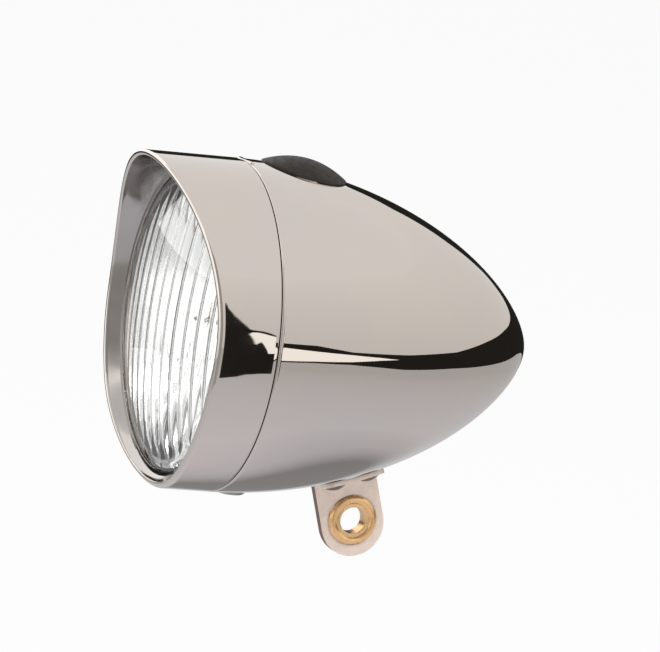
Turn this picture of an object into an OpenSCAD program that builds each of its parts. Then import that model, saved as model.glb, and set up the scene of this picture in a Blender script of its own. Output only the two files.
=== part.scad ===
// Bicycle headlight: bullet shell, hooded rim, fluted lens and a push switch on top.
// Millimetres. The origin is the middle of the bracket's eyelet, +Z is up and the lamp shines along -Y.
// Inside lamp() the origin is the middle of the seam on the optical axis.

/* [Shell] */
// Outer diameter of the lamp at the seam
lamp_d = 80; // [76:0.5:88]
// Length of the shell from the seam to the tip of its nose
shell_l = 78.7; // [74:0.5:90]
// Wall of the shell
shell_wall = 1.8; // [1.5:0.1:2.2]
// Exponent of the shell's curve along its length
shell_along = 1.96; // [1.85:0.01:2.1]
// Exponent of the shell's curve across its nose
shell_across = 1.56; // [1.45:0.01:1.7]
// Gap between rim and shell at the seam
seam_gap = 0.3; // [0.2:0.05:0.5]

/* [Rim] */
// Length of the rim ahead of the seam, below the hood
rim_l = 15.2; // [13.6:0.1:18]
// How far the hood's tip reaches ahead of the rest of the rim
hood_reach = 9.1; // [6:0.1:14]
// Wall of the rim
rim_wall = 3; // [2.6:0.1:3.4]
// Width of the shoulder that holds the lens
lens_shoulder = 1; // [0.6:0.1:1.4]
// Length of the tapered lip ahead of the lens
lip_l = 3.85; // [2.5:0.05:5]
// Length of the skirt that slides into the shell
skirt_l = 3; // [2:0.1:3.6]
// Wall of the skirt
skirt_wall = 0.85; // [0.6:0.05:1]

/* [Hook and tongue] */
// Width of the hook at the rim's top
hook_w = 7; // [5:0.5:8]
// Thickness of the hook
hook_t = 1.2; // [1:0.1:1.4]
// Depth of the shell's bead that the hook passes behind
bead_h = 1.5; // [1.2:0.1:1.7]
// Length of the bead along the lamp
bead_l = 1; // [0.8:0.1:1.2]
// Width of the tongue at the rim's bottom
tongue_w = 11; // [10:0.5:12]
// Thickness of the tongue
tongue_t = 1.2; // [0.8:0.1:1.4]
// How far the tongue's prongs reach past the rim screw's centre
tongue_past = 2; // [1:0.1:2.2]

/* [Rim screw] */
// Distance of the rim screw behind the seam
screw_y = 8.4; // [8:0.1:11]
// Thread diameter of the rim screw
screw_d = 4; // [3:0.5:4]
// Head diameter of the rim screw
screw_head_d = 7.4; // [7:0.1:8.5]
// Head height of the rim screw
screw_head_h = 1.35; // [1:0.05:2]
// Depth of the flat that the head seats on
spot_depth = 0.4; // [0.3:0.05:0.6]
// Width of the threaded clamp plate
nut_w = 12.6; // [12.2:0.1:13]
// Length of the threaded clamp plate
nut_l = 8; // [7:0.1:8.4]
// Thickness of the threaded clamp plate
nut_t = 2.4; // [2:0.1:3]

/* [Lens and reflector] */
// How far the lens's crown stands ahead of its edge
lens_rise = 5; // [4:0.1:6]
// Wall of the lens
lens_wall = 2.2; // [2:0.1:2.6]
// Pitch of the lens's flutes
flute_pitch = 5.7; // [5:0.1:7]
// Depth of the lens's flutes
flute_depth = 0.8; // [0.5:0.05:1]
// Diameter of the fluted part of the lens
fluted_d = 66; // [60:1:68]
// Thickness of the lens gasket
gasket_t = 0.9; // [0.6:0.1:1.2]
// Wall of the reflector
reflector_wall = 1.4; // [1.2:0.1:1.6]
// Width of the reflector's flat rim
reflector_rim_w = 2.8; // [2.4:0.1:3.4]
// Distance of the dish's apex behind the seam
dish_apex = 15.1; // [14.8:0.1:15.6]
// Diameter of the retaining wire
wire_d = 1.5; // [1.2:0.1:1.6]

/* [Bulb and socket] */
// Diameter of the bulb's glass
bulb_d = 11.2; // [10:0.1:11.6]
// Distance of the bulb's filament behind the seam
filament_y = 2; // [1.6:0.1:2.4]
// Outer diameter of the bulb's screw cap
cap_d = 9.5; // [9:0.1:9.6]
// Length of the bulb's screw cap
cap_l = 9.5; // [9:0.1:10]
// Distance from the filament to the cap's tip
light_centre = 19.6; // [19.4:0.1:19.8]
// Wall of the socket
socket_wall = 0.65; // [0.5:0.05:0.8]
// Diameter of the socket's flange
socket_flange_d = 17.6; // [17:0.1:18]

/* [Switch] */
// Distance of the switch behind the seam
switch_y = 15.7; // [15.4:0.1:17]
// Diameter of the rubber boot
boot_d = 21; // [20:0.1:22]
// Height of the boot's crown above the shell
boot_h = 2.9; // [2.5:0.1:4]
// Height of the boot's edge above the shell
boot_edge = 0.45; // [0.3:0.05:0.8]
// Wall of the boot
boot_wall = 1.1; // [0.9:0.05:1.3]
// Travel of the plunger
switch_travel = 1.3; // [0.8:0.1:1.5]
// Diameter of the plunger's stem
stem_d = 6; // [5:0.1:6.4]
// Diameter of the switch's body
switch_d = 13.4; // [13:0.1:13.6]
// Running clearance of the plunger in the switch
running_gap = 0.05; // [0.03:0.01:0.08]

/* [Bracket] */
// Distance of the bracket behind the seam
bracket_y = 36.8; // [36:0.1:40]
// Width of the bracket along the lamp
bracket_w = 16; // [14.6:0.1:17]
// Thickness of each half's sheet
sheet_t = 1.2; // [1:0.1:1.5]
// Distance of the mounting bolt's axis below the shell
bolt_drop = 11.65; // [11:0.05:18]
// How far the middle of the tab's round end lies below that axis
tab_past = 1; // [0.4:0.1:2]
// Width of each half's flange
flange_w = 9.6; // [8.8:0.1:11]
// Bore of the eyelet, for an M6 bolt
eyelet_bore = 6.5; // [6.2:0.1:6.8]
// Outer diameter of the eyelet's rolled rims
eyelet_d = 12.4; // [12:0.1:13.4]
// Distance between the two rivets of a half
rivet_pitch = 8.8; // [8:0.1:9.2]
// Distance of the rivets from the bracket's middle
rivet_out = 5.3; // [5:0.1:5.8]
// Head diameter of a rivet
rivet_head_d = 5.8; // [5:0.1:6.2]
// Shank diameter of a rivet
rivet_d = 3.2; // [2.4:0.1:3.4]
// Thickness of the plates under the rivets' inner heads
rivet_plate_t = 1; // [0.8:0.1:1.4]

/* [Battery] */
// Diameter of a cell
cell_d = 10.5; // [10:0.1:10.6]
// Length of a cell with its button
cell_l = 44.5; // [43:0.1:44.6]
// Distance of the cells' axes behind the seam
cell_y = 32.6; // [32.4:0.1:33]
// Distance between the cells' axes
cell_pitch = 11.6; // [11.5:0.1:11.8]
// Length of a battery spring as fitted
spring_l = 3.2; // [3:0.1:3.4]
// Wall of the tray
tray_wall = 1.3; // [1:0.1:1.4]

/* [Hidden] */

fine = 96;
coarse = 32;
tiny = 0.01;
// Clearance between pieces of two bodies, and the small play between pieces of one body
clear = 0.35;
play = 0.1;
// A length that reaches past the whole lamp
far = 200;

lamp_r = lamp_d / 2;
half_gap = seam_gap / 2;
shell_in_r = lamp_r - shell_wall;
shell_in_l = shell_l - shell_wall;

// Radius of the shell's curve at a distance behind the seam, and its slope in degrees
function curve_r(y, r, l) = r * pow(1 - pow(y / l, shell_along), 1 / shell_across);
function shell_r(y) = curve_r(y, lamp_r, shell_l);
function slope(y) = atan((shell_r(y - 0.05) - shell_r(y + 0.05)) / 0.1);

// The eyelet hangs square to the shell, and its centre is the origin
bracket_slope = slope(bracket_y);
eyelet_y = bracket_y + bolt_drop * sin(bracket_slope);
eyelet_z = shell_r(bracket_y) + bolt_drop * cos(bracket_slope);

// Radii inside the rim
rim_in_r = lamp_r - rim_wall;
seat_r = rim_in_r - lens_shoulder;
stack_r = rim_in_r - 2 * play;
seat_y = rim_l - lip_l;
skirt_r = rim_in_r + skirt_wall;
rim_front = rim_l + hood_reach;
// The hood's edge is cut by a round scoop that is tangent to the rim's flat front
scoop_r = (lamp_r * lamp_r + hood_reach * hood_reach) / (2 * hood_reach);

// Lens: a dome whose edge lies on the rim's shoulder
lens_edge_y = seat_y - 0.3;
dome_r = (stack_r * stack_r + lens_rise * lens_rise) / (2 * lens_rise);
dome_y = dome_r - lens_rise - lens_edge_y;
flute_r = (flute_pitch * flute_pitch / 4 + flute_depth * flute_depth) / (2 * flute_depth);
flute_count = floor(fluted_d / flute_pitch);
lens_back_y = dome_y - sqrt(pow(dome_r - lens_wall, 2) - stack_r * stack_r) + play;

// Reflector: a paraboloid behind the gasket
gasket_back_y = lens_back_y + gasket_t;
dish_r = stack_r - reflector_rim_w;
dish_l = dish_apex - gasket_back_y;
dish_k = dish_r * dish_r / dish_l;
reflector_back_y = gasket_back_y + reflector_wall;
neck_back_y = dish_apex + 4.9;
wire_y = reflector_back_y + wire_d / 2 + play / 2;
wire_r = stack_r - 0.15;

// Bulb and socket
cap_r = cap_d / 2;
cap_tip_y = filament_y + light_centre;
cap_back_y = cap_tip_y - 1.6;
cap_front_y = cap_back_y - cap_l;
socket_in_r = cap_r + 0.2;
socket_r = socket_in_r + socket_wall;
neck_in_r = socket_r + play;
neck_r = neck_in_r + reflector_wall;
glass_neck_r = cap_r - 0.9;
glass_wall = 0.6;
socket_back_y = neck_back_y + 3.2;
socket_flange_t = 1;

// Hook: a finger round the rim's pivot, the top of the seam
hook_in_r = sqrt(pow(bead_l + half_gap, 2) + pow(shell_wall + bead_h, 2)) + 0.3;
hook_out_r = hook_in_r + hook_t;
hook_end = asin((shell_wall + 0.6) / hook_in_r);
hook_root = 25;

// Tongue: its rear end dips towards the shell as the rim swings open
tongue_end_y = screw_y + tongue_past;
tongue_dip = tongue_end_y * tongue_end_y / (4 * (lamp_r - 1));
tongue_r = min(rim_in_r + tiny, shell_in_r - tongue_dip - 0.2);
tongue_slot = screw_d + 0.8;
spot_z = shell_r(screw_y) - spot_depth;
nut_z = tongue_r - tongue_t - 0.3;

// Switch, measured along its own axis from the shell's outer surface
switch_slope = slope(switch_y);
boot_r = boot_d / 2;
boot_neck_r = boot_r - 2.5;
boot_flange_r = boot_neck_r + 1.4;
boot_flange_t = 1.2;
cup_wall = 1;
cup_in_r = boot_flange_r + 0.3;
// The shell's curve drops this far across the boss
boss_seat = shell_wall + cup_in_r * cup_in_r / (2 * lamp_r) + 0.2;
switch_top = boss_seat + boot_flange_t;
switch_flange_t = 1.4;
nut_ring_t = 1.4;
cup_depth = switch_top + switch_flange_t + nut_ring_t + 0.2;
switch_r = switch_d / 2;
switch_depth = 15.5;
stem_r = stem_d / 2;
head_r = boot_neck_r - boot_wall - 1.2;
head_top = boot_h - boot_wall - 0.4;
head_t = 1.7;
head_under = head_top - head_t;
// The switch's body ends this far below the shell, so that the plunger's head clears it when pressed
switch_neck_top = switch_travel + clear - head_under;
collar_top = switch_top + 2.2;
collar_t = 1.1;
cavity_r = switch_r - 1.2;
cavity_end = switch_depth - 1.5;
spring_wire_d = 0.5;
terminal_l = 3;
terminal_x = 3.9;

// Battery tray
cell_r = cell_d / 2;
bay_r = cell_r + 0.15;
plate_t = 0.4;
bay_l = cell_l + spring_l + 2 * plate_t;
tray_l = bay_l + 2 * tray_wall;
tray_front_y = cell_y - cell_r - play;
tray_back_y = cell_y + bay_r + tray_wall;
tray_z = cell_pitch + bay_r + 1;
ear_t = 2;
ear_r = 3;
ear_w = 8;
tray_screw_z = -tray_z - ear_r - 0.6;
nub_r = 1.9;
nub_l = 0.8;
strip_w = 4;
eyelet_wall = 0.6;
strip_t = 0.4;

chrome = "silver";
brass = "goldenrod";
steel = "lightgray";

module lamp() translate([0, -eyelet_y, eyelet_z]) children();

// Turns what is drawn along Z so that it runs along Y, from the seam to the nose
module along_y() rotate([-90, 0, 0]) children();

// Turns what is drawn along Z so that it runs along X, across the lamp
module across() rotate([0, 90, 0]) children();

// Extrudes an outline drawn in the Y-Z plane across the lamp
module side(w) rotate([90, 0, 90]) linear_extrude(w, center = true) children();

// A tube round the optical axis between two distances behind the seam
module tube(r_out, r_in, y0, y1) {
    along_y() translate([0, 0, y0]) difference() {
        cylinder(r = r_out, h = y1 - y0, $fn = fine);
        translate([0, 0, -1]) cylinder(r = r_in, h = y1 - y0 + 2, $fn = fine);
    }
}

// A disc round the optical axis
module disc(r, y0, y1) along_y() translate([0, 0, y0]) cylinder(r = r, h = y1 - y0, $fn = fine);

// The solid inside the shell's curve, grown by a distance
module bullet(r, l, y0 = 0, steps = 30) {
    along_y() rotate_extrude($fn = fine) polygon(concat(
        [[0, y0], [r, y0]],
        [for (i = [1 : steps - 1]) let (y = l * sin(90 * i / steps)) [curve_r(y, r, l), y]],
        [[0, l]]
    ));
}

module outer_bullet() bullet(lamp_r, shell_l);

// A skin over the shell's outer face, from one distance above it to another
module skin(low, high) {
    difference() {
        bullet(lamp_r + high, shell_l + high, -1);
        bullet(lamp_r + low, shell_l + low, -2);
    }
}

// Places on the shell: +Z points away from it on top, and -Z below it
module on_top(y) translate([0, y, shell_r(y)]) rotate([-slope(y), 0, 0]) children();
module under(y) translate([0, y, -shell_r(y)]) rotate([slope(y), 0, 0]) children();

// A wire coil: a swept tube of six sides along a helix from z = 0 to its length
function coil_centre(i, r0, r1, l, turns, steps) =
    let (f = i / (turns * steps), a = 360 * i / steps, r = r0 + (r1 - r0) * f)
    [r * cos(a), r * sin(a), l * f];
function coil_point(i, k, r0, r1, l, turns, steps, wire_r) =
    let (c = coil_centre(i, r0, r1, l, turns, steps), a = 360 * i / steps, b = 60 * k)
    c + wire_r * [cos(b) * cos(a), cos(b) * sin(a), sin(b)];
module coil(r0, r1, l, turns, wire_r, steps = 12) {
    rings = turns * steps;
    inner_l = l - 2 * wire_r;
    gap = inner_l / turns - 2 * wire_r;
    echo(least_gap_in_coil = gap);
    points = [for (i = [0 : rings], k = [0 : 5]) coil_point(i, k, r0, r1, inner_l, turns, steps, wire_r)];
    walls = [for (i = [0 : rings - 1], k = [0 : 5]) let (a = i * 6 + k, b = i * 6 + (k + 1) % 6)
        each [[a, b, b + 6], [a, b + 6, a + 6]]];
    ends = [for (k = [1 : 4]) each [[0, k + 1, k], [rings * 6, rings * 6 + k, rings * 6 + k + 1]]];
    translate([0, 0, wire_r]) polyhedron(points, concat(walls, ends), convexity = 10);
}

// A lead of eight sides swept along a list of points, none of which steps straight across the lamp
function unit(v) = v / norm(v);
function lead_dir(p, i) = unit(unit(p[min(i + 1, len(p) - 1)] - p[min(i, len(p) - 2)])
    + unit(p[max(i, 1)] - p[max(i - 1, 0)]));
function lead_point(p, i, k, r) =
    let (d = lead_dir(p, i), u = unit(cross([1, 0, 0], d)), v = cross(d, u))
    p[i] + r * (cos(45 * k) * u + sin(45 * k) * v);
module lead(p, r) {
    n = len(p);
    points = [for (i = [0 : n - 1], k = [0 : 7]) lead_point(p, i, k, r)];
    walls = [for (i = [0 : n - 2], k = [0 : 7]) let (a = i * 8 + k, b = i * 8 + (k + 1) % 8)
        each [[a, b + 8, b], [a, a + 8, b + 8]]];
    ends = [for (k = [1 : 6]) each [[0, k, k + 1], [n * 8 - 8, n * 8 - 8 + k + 1, n * 8 - 8 + k]]];
    polyhedron(points, concat(walls, ends), convexity = 10);
}

// Rear shell

module screw_guides() {
    guide_t = 1.2;
    for (x = [-1, 1]) translate([x * (nut_w / 2 + 0.2 + guide_t / 2), screw_y, -(nut_z - nut_t)])
        translate([-guide_t / 2, -nut_l / 2, -far]) cube([guide_t, nut_l, far]);
}

module hook_bead() {
    translate([-hook_w / 2 - 1, half_gap, lamp_r - shell_wall - bead_h]) cube([hook_w + 2, bead_l, far]);
}

module tray_boss() {
    translate([0, 0, tray_screw_z]) disc(ear_r, tray_back_y, shell_l);
    translate([-0.8, tray_back_y, -far]) cube([1.6, shell_l, far + tray_screw_z]);
}

module rear_shell() color(chrome) lamp() difference() {
    intersection() {
        bullet(lamp_r, shell_l, half_gap);
        union() {
            difference() {
                outer_bullet();
                bullet(shell_in_r, shell_in_l, -1);
            }
            on_top(switch_y) translate([0, 0, -cup_depth])
                cylinder(r = cup_in_r + cup_wall, h = far, $fn = fine);
            screw_guides();
            hook_bead();
            tray_boss();
        }
    }
    on_top(switch_y) {
        translate([0, 0, -lamp_r]) cylinder(r = cup_in_r, h = lamp_r - boss_seat, $fn = fine);
        translate([0, 0, -lamp_r]) cylinder(r = boot_neck_r, h = 2 * lamp_r, $fn = fine);
    }
    translate([0, screw_y, -far]) {
        cylinder(r = screw_d / 2 + 0.25, h = far, $fn = fine);
        cylinder(r = screw_head_d / 2 + 0.3, h = far - spot_z, $fn = fine);
    }
    for (x = [-1, 1], y = [-1, 1]) rivet_place(x, y) rivet_hole();
    translate([0, 0, tray_screw_z]) disc(1.42, tray_back_y - 1, tray_back_y + 11);
}

// Rim

// What the scoop takes above the axis, and the flat front below it
module hood_scoop() intersection() {
    translate([-lamp_d, -rim_l - scoop_r, 0]) across() cylinder(r = scoop_r, h = 2 * lamp_d, $fn = fine);
    translate([-lamp_d, -far, 0]) cube([2 * lamp_d, far, lamp_d]);
}

module flat_front() translate([-lamp_d, -rim_l - far, -lamp_d]) cube([2 * lamp_d, far, lamp_d]);

module hook() {
    translate([0, 0, lamp_r]) side(hook_w) intersection() {
        difference() {
            circle(r = hook_out_r, $fn = fine);
            circle(r = hook_in_r, $fn = fine);
        }
        polygon([[0, 0], far * [cos(hook_end), -sin(hook_end)], [0, -far], [-far, -far],
            far * [-cos(hook_root), -sin(hook_root)]]);
    }
}

module tongue() {
    intersection() {
        difference() {
            translate([-tongue_w / 2, -skirt_l, -far])
                cube([tongue_w, skirt_l + tongue_end_y, far - tongue_r + tongue_t]);
            translate([0, screw_y, -far]) cylinder(r = tongue_slot / 2, h = far, $fn = coarse);
            translate([-tongue_slot / 2, screw_y, -far]) cube([tongue_slot, far, far]);
        }
        disc(tongue_r, -skirt_l, far);
    }
}

module rim() color(chrome) lamp() {
    difference() {
        union() {
            along_y() rotate_extrude($fn = fine) polygon([
                [lamp_r, -half_gap], [lamp_r, -rim_front - 1], [rim_in_r, -rim_front - 1], [rim_in_r, -rim_l],
                [seat_r, -seat_y], [rim_in_r, -seat_y], [rim_in_r, -half_gap]
            ]);
            difference() {
                tube(skirt_r, rim_in_r, -1, skirt_l);
                translate([-hook_w / 2 - 2, -tiny, 0]) cube([hook_w + 4, far, far]);
            }
        }
        hood_scoop();
        flat_front();
        along_y() rotate_extrude($fn = fine) translate([wire_r, wire_y])
            circle(r = wire_d / 2 + play, $fn = coarse);
    }
    hook();
    tongue();
}

// Lens, gasket, reflector and wire

// Depth of the flutes at a distance from the lens's middle: a row of round hollows
function flute_at(x) =
    let (u = x / flute_pitch + (flute_count % 2 == 1 ? 0.5 : 0), d = (u - floor(u) - 0.5) * flute_pitch)
    abs(x) > flute_count * flute_pitch / 2 ? 0 : flute_depth - flute_r + sqrt(flute_r * flute_r - d * d);

// The dome's wall across the lamp, drawn as distance from the dome's centre against X
module fluted_wall() {
    back_r = dome_r - lens_wall;
    reach = stack_r + 1;
    steps = 8 * ceil(2 * reach / flute_pitch);
    xs = [for (i = [0 : steps]) -reach + 2 * reach * i / steps];
    polygon(concat(
        [for (x = xs) [sqrt(dome_r * dome_r - x * x), x]],
        [for (i = [steps : -1 : 0]) let (x = xs[i]) [sqrt(back_r * back_r - x * x) + flute_at(x), x]]
    ));
}

module lens() color([0.9, 0.95, 1, 0.4]) lamp() {
    swing = 2 * asin((stack_r + 2) / dome_r);
    intersection() {
        translate([0, dome_y, 0]) across() rotate([0, 0, -90 - swing / 2])
            rotate_extrude(angle = swing, $fn = fine) fluted_wall();
        disc(stack_r, -far, far);
    }
    tube(stack_r, stack_r - 2, -lens_edge_y + 0.25, lens_back_y);
}

module lens_gasket() color("dimgray") lamp() tube(stack_r, stack_r - 2, lens_back_y, gasket_back_y);

// The dish's height at a radius, and the radii at which its outline is drawn
function dish_y(r) = dish_apex - r * r / dish_k;
function dish_step(i, steps) = dish_r + (neck_in_r - dish_r) * i / steps;

module reflector() color(chrome) lamp() {
    steps = 16;
    back = reflector_wall * 1.15;
    along_y() rotate_extrude($fn = fine) polygon(concat(
        [[stack_r, gasket_back_y]],
        [for (i = [0 : steps]) let (r = dish_step(i, steps)) [r, dish_y(r)]],
        [[neck_in_r, neck_back_y], [neck_r, neck_back_y], [neck_r, dish_y(neck_r) + back]],
        [for (i = [steps - 2 : -1 : 1]) let (r = dish_step(i, steps) + back / 2) [r, dish_y(r) + back]],
        [[dish_r + 1, reflector_back_y], [stack_r, reflector_back_y]]
    ));
}

module retaining_wire() color(steel) lamp() {
    gap_angle = 40;
    along_y() rotate([0, 0, gap_angle / 2 - 90]) rotate_extrude(angle = 360 - gap_angle, $fn = fine)
        translate([wire_r, wire_y]) circle(r = wire_d / 2, $fn = coarse);
}

// Bulb and socket

module bulb_glass() color([0.95, 0.95, 1, 0.4]) lamp() {
    along_y() translate([0, 0, filament_y + 1]) difference() {
        union() {
            sphere(d = bulb_d, $fn = fine);
            cylinder(r = glass_neck_r, h = cap_front_y + 2 - filament_y, $fn = fine);
        }
        sphere(d = bulb_d - 2 * glass_wall, $fn = fine);
        cylinder(r = glass_neck_r - glass_wall, h = far, $fn = fine);
    }
}

module bulb_cap() color(brass) lamp() {
    threads = 5;
    pitch = 1.6;
    along_y() difference() {
        union() {
            translate([0, 0, cap_front_y]) cylinder(r = cap_r - 0.35, h = cap_l, $fn = fine);
            for (i = [0 : threads - 1]) translate([0, 0, cap_front_y + 1.6 + i * pitch])
                rotate_extrude($fn = fine) translate([cap_r - 0.5, 0]) circle(r = 0.5, $fn = coarse);
            translate([0, 0, cap_back_y - tiny]) cylinder(r1 = cap_r - 1, r2 = 1.4, h = 1 + tiny, $fn = fine);
            translate([0, 0, cap_back_y]) cylinder(r = 1.2, h = cap_tip_y - cap_back_y, $fn = fine);
        }
        translate([0, 0, cap_front_y - 1]) cylinder(r = cap_r - 0.8, h = cap_l, $fn = fine);
    }
}

module bulb_filament() color("gray") lamp() {
    wire = 0.2;
    coil = 0.3;
    spread = 1.6;
    bead_y = cap_front_y - 2;
    stem_y = cap_front_y + 1.2;
    for (x = [-1, 1]) translate([x * spread, 0, 0]) disc(wire, filament_y, stem_y + 2);
    translate([-spread - 2 * coil, filament_y, 0]) across()
        cylinder(r = coil, h = 2 * spread + 4 * coil, $fn = coarse);
    disc(spread + 0.6, bead_y, bead_y + 1.6);
    disc(glass_neck_r - glass_wall - play, stem_y, stem_y + 1.2);
}

module bulb_socket() color(brass) lamp() {
    tube(socket_r, socket_in_r, cap_front_y + 1, socket_back_y);
    tube(socket_flange_d / 2, socket_in_r, neck_back_y, neck_back_y + socket_flange_t);
}

module socket_insulator() color("saddlebrown") lamp()
    tube(socket_in_r - play / 2, 1.05, cap_tip_y + 0.3, socket_back_y);

module centre_contact() color(brass) lamp() {
    disc(1, cap_tip_y + 0.05, socket_back_y + 0.3);
    disc(socket_r / 2, socket_back_y, socket_back_y + 0.7);
}

// Rim screw and its plate

module rim_screw() color(steel) lamp() translate([0, screw_y, -spot_z]) {
    head_r = screw_head_d / 2;
    rounding = 0.7;
    difference() {
        rotate([180, 0, 0]) rotate_extrude($fn = fine) {
            square([head_r - rounding, screw_head_h]);
            square([head_r, screw_head_h - rounding]);
            translate([head_r - rounding, screw_head_h - rounding]) circle(r = rounding, $fn = coarse);
        }
        for (a = [0, 90]) rotate(a) translate([-head_r * 0.55, -0.5, -screw_head_h - 1])
            cube([head_r * 1.1, 1, 1.8]);
        translate([-far / 2, -far / 2, 0]) cube(far);
    }
    translate([0, 0, -0.2]) cylinder(r = screw_d / 2, h = spot_z - nut_z + nut_t + 1.2, $fn = fine);
}

module clamp_nut() color(steel) lamp() translate([0, screw_y, -nut_z]) difference() {
    translate([-nut_w / 2, -nut_l / 2, 0]) cube([nut_w, nut_l, nut_t]);
    translate([0, 0, -1]) cylinder(r = screw_d / 2 + 0.03, h = nut_t + 2, $fn = fine);
}

// Switch

// The boot's domed top: low at its edge both along the lamp and across it
module boot_dome() {
    across_drop = boot_h - boot_edge + boot_r * boot_r / (2 * lamp_r);
    along_drop = boot_h - boot_edge;
    across_r = (boot_r * boot_r + across_drop * across_drop) / (2 * across_drop);
    along_r = (boot_r * boot_r + along_drop * along_drop) / (2 * along_drop);
    translate([0, 0, boot_h - across_r]) along_y() rotate_extrude($fn = fine) intersection() {
        translate([across_r - along_r, 0]) circle(r = along_r, $fn = fine);
        translate([0, -far / 2]) square([far, far]);
    }
}

module switch_boot() color("dimgray") lamp() {
    difference() {
        on_top(switch_y) intersection() {
            boot_dome();
            translate([0, 0, -4]) cylinder(r = boot_r, h = far, $fn = fine);
        }
        outer_bullet();
        on_top(switch_y) translate([0, 0, -boot_wall]) intersection() {
            boot_dome();
            translate([0, 0, -far / 2]) cylinder(r = boot_neck_r - boot_wall, h = far, $fn = fine);
        }
    }
    on_top(switch_y) {
        translate([0, 0, -boss_seat - boot_flange_t / 2]) difference() {
            cylinder(r = boot_neck_r - play / 2, h = boss_seat + boot_flange_t / 2 + boot_edge, $fn = fine);
            translate([0, 0, -1]) cylinder(r = boot_neck_r - boot_wall, h = far, $fn = fine);
        }
        translate([0, 0, -boss_seat - boot_flange_t]) difference() {
            cylinder(r = boot_flange_r, h = boot_flange_t, $fn = fine);
            translate([0, 0, -1]) cylinder(r = boot_neck_r - boot_wall, h = boot_flange_t + 2, $fn = fine);
        }
    }
}

module switch_body() color("ivory") lamp() on_top(switch_y) difference() {
    union() {
        translate([0, 0, -switch_depth])
            cylinder(r = switch_r, h = switch_depth - switch_neck_top, $fn = fine);
        translate([0, 0, -switch_top - switch_flange_t])
            cylinder(r = cup_in_r - play, h = switch_flange_t, $fn = fine);
    }
    translate([0, 0, -cavity_end]) cylinder(r = stem_r + running_gap, h = far, $fn = fine);
    translate([0, 0, -cavity_end])
        cylinder(r = cavity_r, h = cavity_end - collar_top + running_gap, $fn = fine);
}

module switch_plunger() color("white") lamp() on_top(switch_y) {
    intersection() {
        translate([0, 0, head_under]) cylinder(r = head_r, h = head_t, $fn = fine);
        translate([0, 0, -0.4 - boot_wall]) boot_dome();
    }
    translate([0, 0, -collar_top - tiny])
        cylinder(r = stem_r, h = collar_top + head_under + 2 * tiny, $fn = fine);
    translate([0, 0, -collar_top - collar_t]) cylinder(r = cavity_r - clear, h = collar_t, $fn = fine);
}

module switch_spring() color(steel) lamp() on_top(switch_y) {
    coil_r = cavity_r - clear - spring_wire_d;
    translate([0, 0, -cavity_end])
        coil(coil_r, coil_r, cavity_end - collar_top - collar_t, 4, spring_wire_d / 2);
}

module switch_ring_nut() color("black") lamp() on_top(switch_y)
    translate([0, 0, -switch_top - switch_flange_t - nut_ring_t]) difference() {
        cylinder(r = cup_in_r - play, h = nut_ring_t, $fn = fine);
        translate([0, 0, -1]) cylinder(r = switch_r + play, h = nut_ring_t + 2, $fn = fine);
        for (a = [0, 90]) rotate(a) translate([-far / 2, -1, -far + 0.6]) cube([far, 2, far]);
    }

module switch_terminals() color(brass) lamp() on_top(switch_y) for (x = [-1, 1])
    translate([x * terminal_x, 0, -switch_depth - terminal_l / 2])
        cube([0.5, 3, terminal_l], center = true);

module switch_leads() color("firebrick") lamp() {
    lead_r = 0.6;
    lay_z = tray_z + lead_r;
    start_y = switch_y - (switch_depth + terminal_l) * sin(switch_slope);
    start_z = shell_r(switch_y) - (switch_depth + terminal_l) * cos(switch_slope);
    for (x = [-1, 1]) lead([
        [x * terminal_x, start_y, start_z - lead_r],
        [x * terminal_x * 1.03, (3 * start_y + tray_front_y) / 4, start_z - 2 * lead_r],
        [x * terminal_x * 1.08, (start_y + tray_front_y) / 2, (start_z + lay_z) / 2 - lead_r / 2],
        [x * terminal_x * 1.28, (start_y + 6 * tray_front_y) / 7, lay_z + lead_r / 2],
        [x * terminal_x * 1.4, tray_front_y + 2 * lead_r, lay_z],
        [x * terminal_x * 1.54, cell_y, lay_z]
    ], lead_r);
}

// Bracket

module rivet_place(x, y) rotate([0, -x * asin(rivet_out / shell_r(bracket_y)), 0])
    under(bracket_y + y * rivet_pitch / 2 * cos(bracket_slope)) mirror([0, 0, 1]) children();

// A hole through the shell's wall and the sheets on both sides of it
module rivet_hole() translate([0, 0, -bolt_drop / 2])
    cylinder(r = rivet_d / 2 + tiny, h = bolt_drop, $fn = coarse);

module flange_outline() {
    corner = 2.5;
    translate([0, -bracket_w / 2]) square([flange_w - corner, bracket_w]);
    translate([0, -bracket_w / 2 + corner]) square([flange_w, bracket_w - 2 * corner]);
    for (y = [-1, 1]) translate([flange_w - corner, y * (bracket_w / 2 - corner)])
        circle(r = corner, $fn = coarse);
}

module tab_outline() {
    end_r = bracket_w / 2;
    end_z = -bolt_drop - tab_past;
    translate([-end_r, end_z]) square([bracket_w, 1 - end_z]);
    translate([0, end_z]) circle(r = end_r, $fn = fine);
}

// One half of the bracket, on the side of +X
module bracket_half() {
    difference() {
        union() {
            intersection() {
                skin(0, sheet_t);
                under(bracket_y) translate([0, 0, -bolt_drop]) linear_extrude(2 * bolt_drop) flange_outline();
            }
            under(bracket_y) translate([sheet_t / 2, 0, 0]) side(sheet_t) tab_outline();
        }
        outer_bullet();
        translate([-far / 2, eyelet_y, -eyelet_z]) across()
            cylinder(r = eyelet_bore / 2 + eyelet_wall + play / 2, h = far, $fn = fine);
        for (y = [-1, 1]) rivet_place(1, y) rivet_hole();
    }
}

module bracket_left() color(steel) lamp() bracket_half();

module bracket_right() color(steel) lamp() mirror([1, 0, 0]) bracket_half();

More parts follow.
